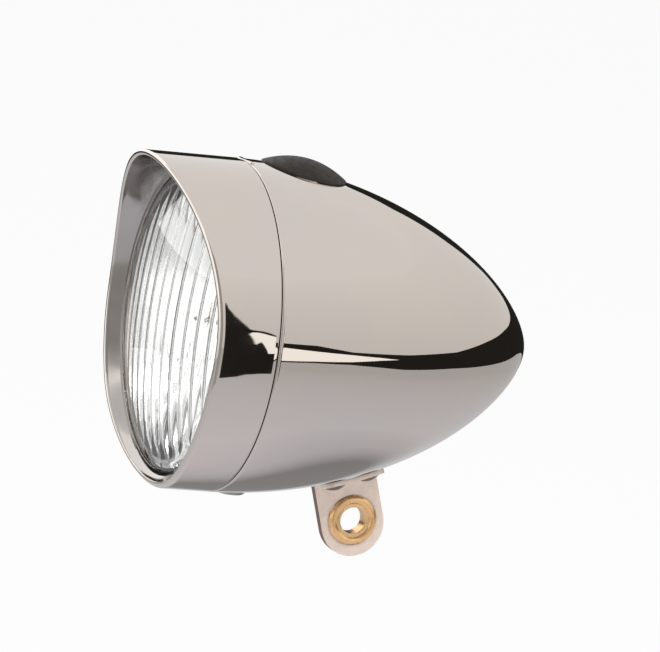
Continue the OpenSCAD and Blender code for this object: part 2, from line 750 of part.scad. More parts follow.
module rivet() {
    head_r = rivet_head_d / 2;
    head_h = 1.1;
    ball_r = (head_r * head_r + head_h * head_h) / (2 * head_h);
    inner_h = 0.9;
    intersection() {
        translate([0, 0, sheet_t + head_h - ball_r]) sphere(r = ball_r, $fn = fine);
        translate([0, 0, sheet_t]) cylinder(r = head_r, h = head_h + 1, $fn = fine);
    }
    translate([0, 0, -shell_wall - rivet_plate_t - tiny])
        cylinder(r = rivet_d / 2, h = shell_wall + rivet_plate_t + sheet_t + 2 * tiny, $fn = fine);
    translate([0, 0, -shell_wall - rivet_plate_t - inner_h])
        cylinder(r = rivet_d / 2 + 0.8, h = inner_h, $fn = fine);
}

module bracket_rivets() color(steel) lamp() for (x = [-1, 1], y = [-1, 1]) rivet_place(x, y) rivet();

module rivet_plates() color("gray") lamp() for (x = [-1, 1]) difference() {
    intersection() {
        skin(-shell_wall - rivet_plate_t, -shell_wall);
        under(bracket_y) translate([x * (rivet_out + 0.3) - 3.4, -bracket_w / 2, -bolt_drop])
            cube([6.8, bracket_w, 2 * bolt_drop]);
    }
    for (y = [-1, 1]) rivet_place(x, y) rivet_hole();
}

module mount_eyelet() color(brass) across() rotate_extrude($fn = fine) {
    bore_r = eyelet_bore / 2;
    roll_r = (eyelet_d / 2 - bore_r) / 2;
    barrel = sheet_t + 1;
    translate([bore_r, -barrel]) square([eyelet_wall, 2 * barrel]);
    for (x = [-1, 1]) intersection() {
        translate([bore_r + roll_r, x * sheet_t]) circle(r = roll_r, $fn = coarse);
        translate([bore_r, x > 0 ? sheet_t : -sheet_t - 1.35]) square([2 * roll_r, 1.35]);
    }
}

// Batteries

module bay_places() for (i = [-1 : 1]) translate([0, cell_y, i * cell_pitch]) children();

module battery_tray() color("darkslategray") lamp() {
    ear_low_z = tray_screw_z - ear_r;
    difference() {
        union() {
            intersection() {
                translate([-tray_l / 2, tray_front_y, -tray_z])
                    cube([tray_l, tray_back_y - tray_front_y, 2 * tray_z]);
                bullet(shell_in_r - 0.4, shell_in_l - 0.4, -1);
            }
            translate([-ear_w / 2, tray_back_y - ear_t, ear_low_z])
                cube([ear_w, ear_t, 1 - tray_z - ear_low_z]);
        }
        bay_places() {
            translate([-bay_l / 2, 0, 0]) across() cylinder(r = bay_r, h = bay_l, $fn = fine);
            translate([-bay_l / 2, -far, -bay_r]) cube([bay_l, far, 2 * bay_r]);
        }
        translate([0, 0, tray_screw_z]) disc(1.6, 0, far);
    }
}

module tray_screw() color(steel) lamp() translate([0, 0, tray_screw_z]) {
    disc(1.4, tray_back_y - ear_t - 0.1, tray_back_y + 10);
    difference() {
        disc(2.8, tray_back_y - ear_t - 1.6, tray_back_y - ear_t);
        translate([-0.4, tray_back_y - ear_t - 2, -far / 2]) cube([0.8, 1, far]);
    }
}

// A cell with its button towards +X, or towards -X when dir is -1
module cell(i) {
    dir = i == 0 ? -1 : 1;
    lamp() translate([0, cell_y, i * cell_pitch]) mirror([dir < 0 ? 1 : 0, 0, 0])
        translate([bay_l / 2 - plate_t - cell_l, 0, 0]) across() {
            cylinder(r = cell_r, h = cell_l - nub_l, $fn = fine);
            cylinder(r = nub_r, h = cell_l, $fn = coarse);
        }
}

module cell_lower() color("goldenrod") cell(-1);
module cell_middle() color("goldenrod") cell(0);
module cell_upper() color("goldenrod") cell(1);

module battery_springs() color(steel) lamp() for (i = [-1 : 1]) let (dir = i == 0 ? -1 : 1)
    translate([0, cell_y, i * cell_pitch]) mirror([dir < 0 ? 1 : 0, 0, 0])
        translate([-bay_l / 2 + plate_t, 0, 0]) across() coil(0.6 * cell_r, 0.4 * cell_r, spring_l, 2.5, 0.3);

module contact_plates() color(brass) lamp() bay_places() for (x = [-1, 1])
    translate([x * (bay_l / 2 - plate_t / 2), 0, 0]) cube([plate_t, 1.4 * cell_r, 1.4 * cell_r], center = true);

// Two leaf strips: one stands behind the socket's button and one behind its flange
module feed_strips() color(brass) lamp() {
    button_y = socket_back_y + 0.7 + clear;
    flange_y = neck_back_y + socket_flange_t + clear;
    web_z = cell_pitch / 2;
    low_z = tray_z - 0.8;
    side(strip_w) {
        translate([button_y, -2]) square([strip_t, web_z + 2]);
        translate([button_y, web_z - 0.2]) square([tray_front_y - button_y, strip_t]);
        translate([flange_y, -low_z]) square([strip_t, low_z - socket_flange_d / 2 + 1.2]);
        translate([flange_y, -low_z]) square([tray_front_y - flange_y, strip_t]);
    }
}

rear_shell();
rim();
lens();
lens_gasket();
reflector();
retaining_wire();
bulb_glass();
bulb_cap();
bulb_filament();
bulb_socket();
socket_insulator();
centre_contact();
rim_screw();
clamp_nut();
switch_boot();
switch_body();
switch_plunger();
switch_spring();
switch_ring_nut();
switch_terminals();
switch_leads();
bracket_left();
bracket_right();
bracket_rivets();
rivet_plates();
mount_eyelet();
battery_tray();
tray_screw();
cell_lower();
cell_middle();
cell_upper();
battery_springs();
contact_plates();
feed_strips();
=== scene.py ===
"""Bicycle headlight: the visual model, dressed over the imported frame.

Everything is in metres in the row's frame: +Z is up, the lamp shines along -Y, and the origin is the
middle of the bracket's eyelet. Most shapes are worked out in the lamp's own frame, whose origin is the
middle of the seam between rim and shell, with +Y towards the nose.
"""

import logging
import math
from dataclasses import dataclass, field, replace
from enum import Enum
from functools import cached_property
from typing import Any, Callable, Iterable, Sequence

import bmesh
import bpy
from mathutils import Matrix, Vector


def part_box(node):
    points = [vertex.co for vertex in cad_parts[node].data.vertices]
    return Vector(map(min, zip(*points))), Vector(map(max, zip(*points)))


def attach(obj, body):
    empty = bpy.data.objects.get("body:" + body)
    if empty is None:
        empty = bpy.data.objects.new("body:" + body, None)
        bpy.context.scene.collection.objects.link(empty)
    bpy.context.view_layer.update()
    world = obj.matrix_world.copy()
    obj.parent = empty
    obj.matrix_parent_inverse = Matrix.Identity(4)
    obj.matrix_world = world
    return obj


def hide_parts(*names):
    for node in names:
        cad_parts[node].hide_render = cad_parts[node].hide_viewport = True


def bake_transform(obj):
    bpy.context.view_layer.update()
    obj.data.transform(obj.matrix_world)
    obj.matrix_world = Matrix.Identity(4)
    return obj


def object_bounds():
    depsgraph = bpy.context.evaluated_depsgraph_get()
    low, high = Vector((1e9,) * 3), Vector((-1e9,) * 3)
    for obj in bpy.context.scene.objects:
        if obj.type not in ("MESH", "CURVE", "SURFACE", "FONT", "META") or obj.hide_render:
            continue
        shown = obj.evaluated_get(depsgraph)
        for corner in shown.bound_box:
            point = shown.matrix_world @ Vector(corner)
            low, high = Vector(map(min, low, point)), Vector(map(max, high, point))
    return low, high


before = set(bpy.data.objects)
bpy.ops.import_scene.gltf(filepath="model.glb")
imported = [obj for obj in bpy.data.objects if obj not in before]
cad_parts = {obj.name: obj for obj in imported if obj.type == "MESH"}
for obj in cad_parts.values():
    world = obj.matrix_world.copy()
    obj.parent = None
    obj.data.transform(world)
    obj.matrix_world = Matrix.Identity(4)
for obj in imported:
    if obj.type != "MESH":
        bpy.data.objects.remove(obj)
CAD_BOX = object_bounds()

log = logging.getLogger("headlight")

Point2 = tuple[float, float]
Point3 = tuple[float, float, float]
Point4 = tuple[float, float, float, float]
Colour = Point3
Face = tuple[int, ...]
Piece = bpy.types.Object
Socket = bpy.types.NodeSocket

SMOOTH = 35.0  # Degrees. Edges sharper than this stay sharp, where a piece has no angle of its own.
SAME_POINT = 2e-6  # Metres. Corners nearer to each other than this are merged.


# Meshes

class Axis(Enum):
    """The axis that an outline is turned about, by its place among X, Y and Z."""

    ACROSS = 0
    LAMP = 1
    UP = 2

    def point(self, along: float, a: float, b: float) -> Point3:
        """The point at a place along the axis and two distances across it.

        Args:
            along: Place along the axis.
            a: Place on the first of the other two axes.
            b: Place on the second.

        Returns:
            The point as (x, y, z).
        """
        point = [a, b]
        point.insert(self.value, along)
        return tuple(point)


def circle(steps: int) -> list[Point2]:
    """Cosine and sine of even steps round a circle."""
    return [(math.cos(a), math.sin(a)) for a in (2 * math.pi * i / steps for i in range(steps))]


def weave(rows: int, across: int, loop: bool = False, wrap: bool = True) -> list[Face]:
    """Four-cornered faces between rows of points.

    Args:
        rows: Number of rows.
        across: Number of points in a row.
        loop: True where the last row meets the first.
        wrap: True where each row is a ring.

    Returns:
        The corner numbers of each face.
    """
    return [(r * across + k, r * across + (k + 1) % across, (r + 1) % rows * across + (k + 1) % across,
             (r + 1) % rows * across + k)
            for r in range(rows if loop else rows - 1) for k in range(across if wrap else across - 1)]


def band(first: Sequence[int], second: Sequence[int]) -> list[Face]:
    """Faces between two rings of corner numbers."""
    count = len(first)
    return [(first[k], first[(k + 1) % count], second[(k + 1) % count], second[k]) for k in range(count)]


def smooth(obj: Piece, angle: float) -> None:
    """Shades a piece smooth, but for edges sharper than an angle in degrees."""
    obj.data.shade_smooth()
    obj.data.set_sharp_from_angle(angle=math.radians(angle))


def mesh_object(name: str, points: Iterable[Sequence[float]], faces: Iterable[Face], angle: float = SMOOTH) -> Piece:
    """Makes a piece with merged corners, outward normals and smooth shading.

    Args:
        name: Name of the piece.
        points: Corners in metres.
        faces: Corner numbers of each face.
        angle: Edges sharper than this, in degrees, stay sharp.

    Returns:
        The piece, linked to the scene.
    """
    mesh = bpy.data.meshes.new(name)
    mesh.from_pydata([tuple(p) for p in points], [], list(faces))
    obj = bpy.data.objects.new(name, mesh)
    bpy.context.scene.collection.objects.link(obj)
    work = bmesh.new()
    work.from_mesh(mesh)
    bmesh.ops.remove_doubles(work, verts=work.verts, dist=SAME_POINT)
    bmesh.ops.dissolve_degenerate(work, edges=work.edges, dist=SAME_POINT / 20)
    bmesh.ops.recalc_face_normals(work, faces=work.faces)
    work.to_mesh(mesh)
    work.free()
    smooth(obj, angle)
    return obj


def lathe(name: str, outline: Sequence[Point2], axis: Axis = Axis.LAMP, segments: int = 96,
          closed: bool = False, angle: float = SMOOTH) -> Piece:
    """Turns an outline about an axis.

    Args:
        name: Name of the piece.
        outline: Points as (place along the axis, distance from it).
        axis: The axis to turn about.
        segments: Number of steps round the axis.
        closed: True when the outline is a loop that doesn't touch the axis.
        angle: Edges sharper than this, in degrees, stay sharp.

    Returns:
        The turned piece, in the frame that the outline is given in.
    """
    points = [axis.point(along, out * c, out * s) for along, out in outline for c, s in circle(segments)]
    return mesh_object(name, points, weave(len(outline), segments, closed), angle)


def tube_along(name: str, path: Sequence[Vector], radius: float, sides: int = 12) -> Piece:
    """Sweeps a round section along a path, with closed ends.

    Args:
        name: Name of the piece.
        path: Points that the middle of the tube follows.
        radius: Radius of the tube.
        sides: Number of sides of its section.

    Returns:
        The tube.
    """
    points: list[Vector] = []
    last = len(path) - 1
    side = (path[1] - path[0]).normalized().orthogonal().normalized()
    for i, here in enumerate(path):
        ahead = (path[min(i + 1, last)] - path[max(i - 1, 0)]).normalized()
        side = (side - ahead * side.dot(ahead)).normalized()
        other = ahead.cross(side)
        points += [here + radius * (c * side + s * other) for c, s in circle(sides)]
    ends = [tuple(range(sides)), tuple(last * sides + k for k in reversed(range(sides)))]
    return mesh_object(name, points, weave(len(path), sides) + ends, 50.0)


def smooth_path(stops: Sequence[Vector], steps: int) -> list[Vector]:
    """A smooth curve through stops.

    Args:
        stops: Points that the curve passes through.
        steps: Steps between neighbours.

    Returns:
        The curve's points.
    """
    ends = [2 * stops[0] - stops[1], *stops, 2 * stops[-1] - stops[-2]]
    path = [0.5 * (2 * b + (c - a) * t + (2 * a - 5 * b + 4 * c - d) * t * t + (3 * b - a - 3 * c + d) * t ** 3)
            for a, b, c, d in zip(ends, ends[1:], ends[2:], ends[3:]) for t in (i / steps for i in range(steps))]
    return path + [stops[-1]]


def cylinder(name: str, radius: float, half: float, axis: Axis, segments: int = 96) -> Piece:
    """A closed cylinder about an axis, with half its length on each side of the origin."""
    return lathe(name, [(-half, 0), (-half, radius), (half, radius), (half, 0)], axis, segments)


def prism(name: str, outline: Sequence[Point2], low: float, high: float,
          place: Callable[[float, float, float], Sequence[float]], edge: float = 0.0002) -> Piece:
    """Extrudes a flat outline and rounds its edges.

    Args:
        name: Name of the piece.
        outline: Corners of the outline, as (a, b).
        low: Where the extrusion starts.
        high: Where it ends.
        place: Gives the point of (a, b, height).
        edge: Width of the rounding of the edges.

    Returns:
        The extruded piece.
    """
    count = len(outline)
    faces = [tuple(range(count)), tuple(reversed(range(count, 2 * count)))] + weave(2, count)
    obj = mesh_object(name, [place(a, b, h) for h in (low, high) for a, b in outline], faces)
    if edge:
        round_edges(obj, edge)
    return obj


def block(name: str, size: Point3, centre: Point3) -> Piece:
    """A block with rounded edges.

    Args:
        name: Name of the piece.
        size: Its length on each axis.
        centre: Its middle.

    Returns:
        The block.
    """
    x, y, z = (side / 2 for side in size)
    obj = prism(name, [(-x, -y), (x, -y), (x, y), (-x, y)], -z, z, lambda a, b, h: (a, b, h), 0.00015)
    obj.data.transform(Matrix.Translation(centre))
    return obj


def apply_modifiers(obj: Piece) -> None:
    """Bakes a piece's modifiers into its mesh.

    Args:
        obj: The piece.
    """
    graph = bpy.context.evaluated_depsgraph_get()
    made = bpy.data.meshes.new_from_object(obj.evaluated_get(graph))
    obj.modifiers.clear()
    obj.data = made


def round_edges(obj: Piece, width: float, angle: float = 40.0) -> None:
    """Rounds the sharp edges of a piece.

    Args:
        obj: The piece.
        width: Width of the rounding.
        angle: Edges sharper than this, in degrees, are rounded.
    """
    bevel = obj.modifiers.new("edges", "BEVEL")
    bevel.width, bevel.segments, bevel.limit_method = width, 2, "ANGLE"
    bevel.angle_limit, bevel.harden_normals = math.radians(angle), False
    bevel.use_clamp_overlap = True
    apply_modifiers(obj)
    smooth(obj, angle)


def cut(obj: Piece, cutters: Sequence[Piece], angle: float) -> None:
    """Takes cutters out of a piece and deletes them.

    Args:
        obj: The piece to cut.
        cutters: Closed pieces to take away.
        angle: Edges sharper than this, in degrees, stay sharp.
    """
    for cutter in cutters:
        step = obj.modifiers.new("cut", "BOOLEAN")
        step.operation, step.solver, step.object = "DIFFERENCE", "EXACT", cutter
    apply_modifiers(obj)
    for cutter in cutters:
        bpy.data.objects.remove(cutter)
    smooth(obj, angle)


def join(obj: Piece, others: Iterable[Piece]) -> Piece:
    """Adds other meshes to a piece and deletes them.

    Args:
        obj: The piece that takes the others in.
        others: Pieces in the same frame.

    Returns:
        The joined piece.
    """
    work = bmesh.new()
    work.from_mesh(obj.data)
    for other in others:
        work.from_mesh(other.data)
        bpy.data.objects.remove(other)
    work.to_mesh(obj.data)
    work.free()
    return obj


def arc(centre: Point2, radii: Point2, start: float, end: float, steps: int) -> list[Point2]:
    """Points on an arc of a circle or ellipse.

    Args:
        centre: Middle of the arc.
        radii: Its two radii.
        start: First angle in degrees.
        end: Last angle in degrees.
        steps: Number of steps between them.

    Returns:
        The points, both ends included.
    """
    angles = (math.radians(start + (end - start) * i / steps) for i in range(steps + 1))
    return [(centre[0] + radii[0] * math.cos(a), centre[1] + radii[1] * math.sin(a)) for a in angles]


def spiral(axis: Axis, radii: Point2, ends: Point2, turns: float, steps: int) -> list[Vector]:
    """Points on a spiral round an axis.

    Args:
        axis: The axis.
        radii: Its first and last radius.
        ends: Where it starts and ends along the axis.
        turns: Number of turns.
        steps: Number of steps in all.

    Returns:
        The points, both ends included.
    """
    path = []
    for share in (i / steps for i in range(steps + 1)):
        angle, radius = 2 * math.pi * turns * share, radii[0] + (radii[1] - radii[0]) * share
        along = ends[0] + (ends[1] - ends[0]) * share
        path.append(Vector(axis.point(along, radius * math.cos(angle), radius * math.sin(angle))))
    return path


def direction(azimuth: float, elevation: float) -> Vector:
    """Unit vector at an azimuth from the lamp's front and an elevation, both in degrees."""
    a, e = math.radians(azimuth), math.radians(elevation)
    return Vector((math.sin(a) * math.cos(e), -math.cos(a) * math.cos(e), math.sin(e)))


# Finishes

class Nodes:
    """The nodes of a material or of the world."""

    def __init__(self, owner: bpy.types.Material | bpy.types.World, empty: bool = True) -> None:
        """Opens the nodes.

        Args:
            owner: The material or world.
            empty: True to take out the nodes that it starts with.
        """
        owner.use_nodes = True
        self.tree = owner.node_tree
        if empty:
            self.tree.nodes.clear()

    def put(self, target: Socket, value: Any) -> None:
        """Links an input to a socket, or sets it to a value.

        Args:
            target: The input.
            value: The socket or value.
        """
        if isinstance(value, Socket):
            self.tree.links.new(value, target)
        else:
            target.default_value = (*value, 1.0) if target.type == "RGBA" else value

    def add(self, kind: str, inputs: dict[str | int, Any] | None = None, **settings: Any) -> bpy.types.Node:
        """Adds a node.

        Args:
            kind: Its kind, as Blender names it after ShaderNode.
            inputs: Sockets and values to put in, by the input's name or number.
            settings: The node's own settings.

        Returns:
            The node.
        """
        node = self.tree.nodes.new("ShaderNode" + kind)
        for key, value in settings.items():
            setattr(node, key, value)
        for key, value in (inputs or {}).items():
            self.put(node.inputs[key], value)
        return node

    def between(self, value: Socket, low: float, high: float, start: float = 0.3, end: float = 0.7) -> Socket:
        """Maps a value that runs from start to end onto low to high."""
        return self.add("MapRange", {"Value": value, "From Min": start, "From Max": end, "To Min": low,
                                     "To Max": high}).outputs["Result"]

    def mix(self, share: Socket | float, first: Any, second: Any, blend: str = "MIX") -> Socket:
        """Mixes two colours, each a socket or a value, by a share of the second."""
        return self.add("Mix", {"Factor": share, "A": first, "B": second}, data_type="RGBA",
                        blend_type=blend).outputs["Result"]

    def ramp(self, value: Socket, *stops: tuple[float, Colour]) -> Socket:
        """Turns a value into a colour.

        Args:
            value: The value, from 0 to 1.
            stops: Values in rising order, each with its colour.

        Returns:
            The colour.
        """
        node = self.add("ValToRGB", {"Fac": value})
        marks = node.color_ramp.elements
        marks[0].position, marks[1].position = stops[0][0], stops[-1][0]
        for position, _ in stops[1:-1]:
            marks.new(position)
        for mark, (_, colour) in zip(marks, stops):
            mark.color = (*colour, 1.0)
        return node.outputs["Color"]

    def rays(self, *names: str) -> Socket:
        """Tells kinds of rays apart.

        Args:
            names: Outputs of Light Path that count.

        Returns:
            1 for rays of those kinds and 0 for others.
        """
        path = self.add("LightPath")
        total = path.outputs[names[0]]
        for name in names[1:]:
            total = self.add("Math", {0: total, 1: path.outputs[name]}, operation="MAXIMUM").outputs[0]
        return total


class Shading(Nodes):
    """A Principled material and the few kinds of surface detail that the finishes share."""

    def __init__(self, name: str, colour: Colour, metallic: float = 0.0, roughness: float = 0.5) -> None:
        """Starts a material.

        Args:
            name: Name of the material.
            colour: Base colour.
            metallic: 1 for bare metal.
            roughness: Roughness where nothing drives it.
        """
        self.material = bpy.data.materials.new(name)
        super().__init__(self.material, empty=False)
        self.shader = self.tree.nodes["Principled BSDF"]
        self.shader.inputs["Base Color"].default_value = (*colour, 1.0)
        self.shader.inputs["Metallic"].default_value = metallic
        self.shader.inputs["Roughness"].default_value = roughness
        self.place = self.add("TexCoord").outputs["Object"]
        self.normal: Socket | None = None

    def stretched(self, scale: Point3) -> Socket:
        """Coordinates stretched by a factor on each axis."""
        return self.add("Mapping", {"Vector": self.place, "Scale": scale}).outputs["Vector"]

    def noise(self, size: float, detail: float = 4.0, at: Socket | None = None, roughness: float = 0.5) -> Socket:
        """Noise whose patches are about size across.

        Args:
            size: Size of a patch in metres.
            detail: Number of finer layers.
            at: Coordinates, where they aren't the object's own.
            roughness: Weight of the finer layers.

        Returns:
            The noise, from 0 to 1.
        """
        return self.add("TexNoise", {"Vector": at or self.place, "Scale": 1 / size, "Detail": detail,
                                     "Roughness": roughness}).outputs["Fac"]

    def mottle(self, value: Socket, first: Colour, second: Colour, start: float = 0.3, end: float = 0.7) -> None:
        """Varies the colour from first to second, as a value runs from start to end."""
        self.put(self.shader.inputs["Base Color"], self.mix(self.between(value, 0, 1, start, end), first, second))

    def paint_corner_shade(self, reach: float, depth: float) -> None:
        """Paints shade into the colour in corners and gaps, where ambient occlusion finds them.

        Args:
            reach: Width of the gaps that still darken.
            depth: The share that the deepest ones lose.
        """
        # Painted shade: ambient occlusion darkens the base colour where light reaches less.
        shade = self.add("AmbientOcclusion", {"Distance": reach}, samples=8)
        level = self.between(shade.outputs["AO"], 1 - depth, 1.0, 0.2, 0.9)
        colour = self.shader.inputs["Base Color"]
        self.put(colour, self.mix(1.0, colour.links[0].from_socket, level, "MULTIPLY"))

    def gloss(self, value: Socket, low: float, high: float) -> None:
        """Varies the roughness between two values."""
        self.put(self.shader.inputs["Roughness"], self.between(value, low, high))

    def relief(self, value: Socket, height: float) -> None:
        """Adds a relief to the surface, over any that it has.

        Args:
            value: The relief's form.
            height: Its height in metres.
        """
        under = {"Normal": self.normal} if self.normal else {}
        bump = self.add("Bump", {"Strength": 1.0, "Distance": height, "Height": value, **under})
        self.normal = bump.outputs["Normal"]
        self.put(self.shader.inputs["Normal"], self.normal)


@dataclass(frozen=True)
class Chrome:
    """Bright plating on moulded plastic: nearly a mirror, with faint waves and handling haze."""

    name: str
    colour: Colour = (0.622, 0.562, 0.512)
    wave: float = 3.0e-6
    haze: float = 0.028
    least_haze: float = 0.008

    def build(self) -> bpy.types.Material:
        """Makes the material."""
        warm = self.colour
        cool = (warm[0] * 0.965, warm[1] * 0.985, warm[2] * 1.01)
        look = Shading(self.name, warm, metallic=1.0)
        look.mottle(look.noise(0.018, 2), warm, cool)
        look.gloss(look.noise(0.006, 6), self.least_haze, self.haze)
        look.relief(look.noise(0.016, 1), self.wave)
        return look.material


@dataclass(frozen=True)
class Silvering:
    """Vacuum-coated reflector: a mirror with fine ripples from its mould."""

    name: str
    colour: Colour = (0.9, 0.9, 0.89)

    def build(self) -> bpy.types.Material:
        """Makes the material."""
        look = Shading(self.name, self.colour, metallic=1.0)
        look.gloss(look.noise(0.004, 4), 0.04, 0.10)
        look.mottle(look.noise(0.01, 3), self.colour, tuple(0.96 * c for c in self.colour))
        look.relief(look.noise(0.009, 1), 6.0e-6)
        return look.material


@dataclass(frozen=True)
class ClearPlastic:
    """Clear moulded lens or blown glass."""

    name: str
    tint: Colour = (0.985, 0.99, 0.99)
    ior: float = 1.49
    haze: float = 0.02

    def build(self) -> bpy.types.Material:
        """Makes the material."""
        look = Shading(self.name, self.tint, roughness=self.haze)
        look.shader.inputs["Transmission Weight"].default_value = 1.0
        look.shader.inputs["IOR"].default_value = self.ior
        look.gloss(look.noise(0.008, 4), 0.0, self.haze)
        look.relief(look.noise(0.012, 1), 1.5e-6)
        return look.material


@dataclass(frozen=True)
class Rubber:
    """Dark moulded rubber with a fine grain and a dusty bloom."""

    name: str
    colour: Colour = (0.0085, 0.0066, 0.0046)

    def build(self) -> bpy.types.Material:
        """Makes the material."""
        look = Shading(self.name, self.colour, roughness=0.55)
        look.shader.inputs["Specular IOR Level"].default_value = 0.2
        look.mottle(look.noise(0.0035, 8), self.colour, tuple(1.6 * c + 0.002 for c in self.colour), 0.35, 0.75)
        look.gloss(look.noise(0.0012, 5), 0.42, 0.62)
        look.relief(look.noise(0.00035, 3), 2.0e-5)
        return look.material


@dataclass(frozen=True)
class PlatedSteel:
    """Zinc or nickel on steel: dull metal with rolling marks, blotches and painted shade in its corners."""

    name: str
    colour: Colour = (0.92, 0.77, 0.67)
    dark: Colour = (0.74, 0.60, 0.52)
    rough: Point2 = (0.34, 0.46)
    metal: float = 0.5
    grain: Point3 = (1.0, 7.0, 7.0)

    def build(self) -> bpy.types.Material:
        """Makes the material."""
        look = Shading(self.name, self.colour, metallic=self.metal)
        look.mottle(look.noise(0.0022, 7, roughness=0.6), self.colour, self.dark, 0.42, 0.9)
        # Painted shade in corners and gaps, by ambient occlusion.
        look.paint_corner_shade(0.0012, 0.45)
        look.gloss(look.noise(0.0015, 5), *self.rough)
        look.relief(look.noise(0.0016, 3, look.stretched(self.grain)), 6.0e-6)
        look.relief(look.noise(0.0004, 3), 2.0e-6)
        return look.material


@dataclass(frozen=True)
class Brass:
    """Turned or pressed brass with a satin skin, darker tarnish in patches and painted shade in its hollows."""

    name: str
    colour: Colour = (0.92, 0.58, 0.29)
    rough: Point2 = (0.20, 0.34)

    def build(self) -> bpy.types.Material:
        """Makes the material."""
        look = Shading(self.name, self.colour, metallic=0.85)
        tarnish = tuple(c * share for c, share in zip(self.colour, (0.84, 0.78, 0.68)))
        look.mottle(look.noise(0.0016, 6), self.colour, tarnish, 0.48, 0.85)
        # Painted shade in hollows such as the eyelet's bore, by ambient occlusion.
        look.paint_corner_shade(0.006, 0.6)
        look.gloss(look.noise(0.0012, 5), *self.rough)
        look.relief(look.noise(0.0009, 3), 5.0e-6)
        return look.material


@dataclass(frozen=True)
class Plastic:
    """Moulded plastic or laminate with a fine skin texture and slight shade changes."""

    name: str
    colour: Colour
    rough: Point2 = (0.35, 0.5)
    grain: float = 0.0004
    fibres: bool = False

    def build(self) -> bpy.types.Material:
        """Makes the material."""
        look = Shading(self.name, self.colour, roughness=self.rough[0])
        at = look.stretched((6.0, 1.0, 1.0)) if self.fibres else None
        look.mottle(look.noise(0.003, 6, at), self.colour, tuple(min(1.0, 0.82 * c + 0.004) for c in self.colour))
        look.gloss(look.noise(0.0015, 4), *self.rough)
        look.relief(look.noise(self.grain, 3), 1.0e-5)
        return look.material


class Finish(Enum):
    """The finishes of the lamp. A finish bears the name of its slot in the record, where it has one."""

    SHELL_CHROME = Chrome("chromed_shell")
    RIM_CHROME = Chrome("chromed_rim", wave=4.0e-6)
    # The bezel's chrome is rougher and wavier; its darker colour is painted shade that dims its reflections.
    BEZEL_CHROME = Chrome("bezel_chrome", (0.43, 0.40, 0.38), 1.2e-5, 0.22, 0.09)
    LENS = ClearPlastic("clear_lens")
    GLASS = ClearPlastic("clear_glass", tint=(0.97, 0.97, 0.96), ior=1.47, haze=0.03)
    MIRROR = Silvering("silvered_dish")
    RUBBER = Rubber("black_rubber")
    ZINC = PlatedSteel("zinc_steel")
    # Painted shade: the tab's cut edges are coloured dark brown to stand in for the shade on them.
    EDGE_SHADE = PlatedSteel("edge_shade_steel", (0.20, 0.125, 0.105), (0.13, 0.08, 0.07), (0.4, 0.55), 0.6)
    # Painted shade: the rivets' darker colour stands in for the shade under the flange.
    RIVET = PlatedSteel("rivet_steel", (0.36, 0.26, 0.22), (0.24, 0.17, 0.15), (0.28, 0.4), 0.85)
    SPRING = PlatedSteel("spring_steel", (0.55, 0.55, 0.56), (0.4, 0.4, 0.41), (0.18, 0.3), 1.0)
    SCREW = PlatedSteel("screw_steel", (0.40, 0.36, 0.33), (0.28, 0.25, 0.23), (0.2, 0.34), 1.0)
    BRASS = Brass("brass")
    TUNGSTEN = PlatedSteel("tungsten", (0.3, 0.3, 0.32), (0.2, 0.2, 0.22), (0.35, 0.5), 1.0)
    LAMINATE = Plastic("brown_laminate", (0.20, 0.085, 0.035), (0.4, 0.6), fibres=True)
    WHITE_PLASTIC = Plastic("white_plastic", (0.78, 0.76, 0.70))
    BLACK_PLASTIC = Plastic("black_plastic", (0.022, 0.022, 0.024), (0.4, 0.6))
    CELL_JACKET = Plastic("cell_jacket", (0.05, 0.14, 0.12), (0.15, 0.28), grain=0.002)
    LEAD = Plastic("red_lead", (0.42, 0.03, 0.02), (0.3, 0.45))


@dataclass(frozen=True)
class Paintbox:
    """Builds each finish once and puts it on pieces."""

    built: dict[Finish, bpy.types.Material] = field(default_factory=dict)

    def material(self, finish: Finish) -> bpy.types.Material:
        """The material of a finish, built when it is first asked for."""
        if finish not in self.built:
            self.built[finish] = finish.value.build()
        return self.built[finish]

    def coat(self, obj: Piece, finish: Finish, edge: Finish | None = None) -> None:
        """Puts a finish on a piece, and another one on the faces that are marked as its edge.

        Args:
            obj: The piece.
            finish: Its finish.
            edge: Finish of the faces with material number 1, where the piece has any.
        """
        marked = [bool(edge) and face.material_index == 1 for face in obj.data.polygons]
        obj.data.materials.clear()
        for each in [finish, edge] if edge else [finish]:
            obj.data.materials.append(self.material(each))
        for face, mark in zip(obj.data.polygons, marked):
            face.material_index = int(mark)


@dataclass(frozen=True)
class Workshop:
    """Puts finished pieces into the frame: places, coats, rides and reports them."""

    paintbox: Paintbox

    def fit(self, obj: Piece, finish: Finish, body: str, nodes: Sequence[str] = (), place: Matrix | None = None,
            ride: bool = True, edge: Finish | None = None, slot: Finish | None = None) -> Piece:
        """Finishes a piece and fits it to a body.

        Args:
            obj: The piece.
            finish: Its finish.
            body: The body that it moves with.
            nodes: The nodes that it stands for.
            place: Where its mesh goes, from its own frame to the row's.
            ride: False to leave the piece off its body.
            edge: Finish of the faces that are marked as its edge.
            slot: The record's slot, where it isn't the finish's own. Not used.

        Returns:
            The piece.
        """
        if place is not None:
            obj.data.transform(place)
        self.paintbox.coat(obj, finish, edge)
        if nodes:
            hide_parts(*nodes)
        if ride:
            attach(obj, body)
        log.info("%s: %d faces, %s, on %s", obj.name, len(obj.data.polygons), finish.value.name, body)
        return obj


# The lamp's frame and its main curve

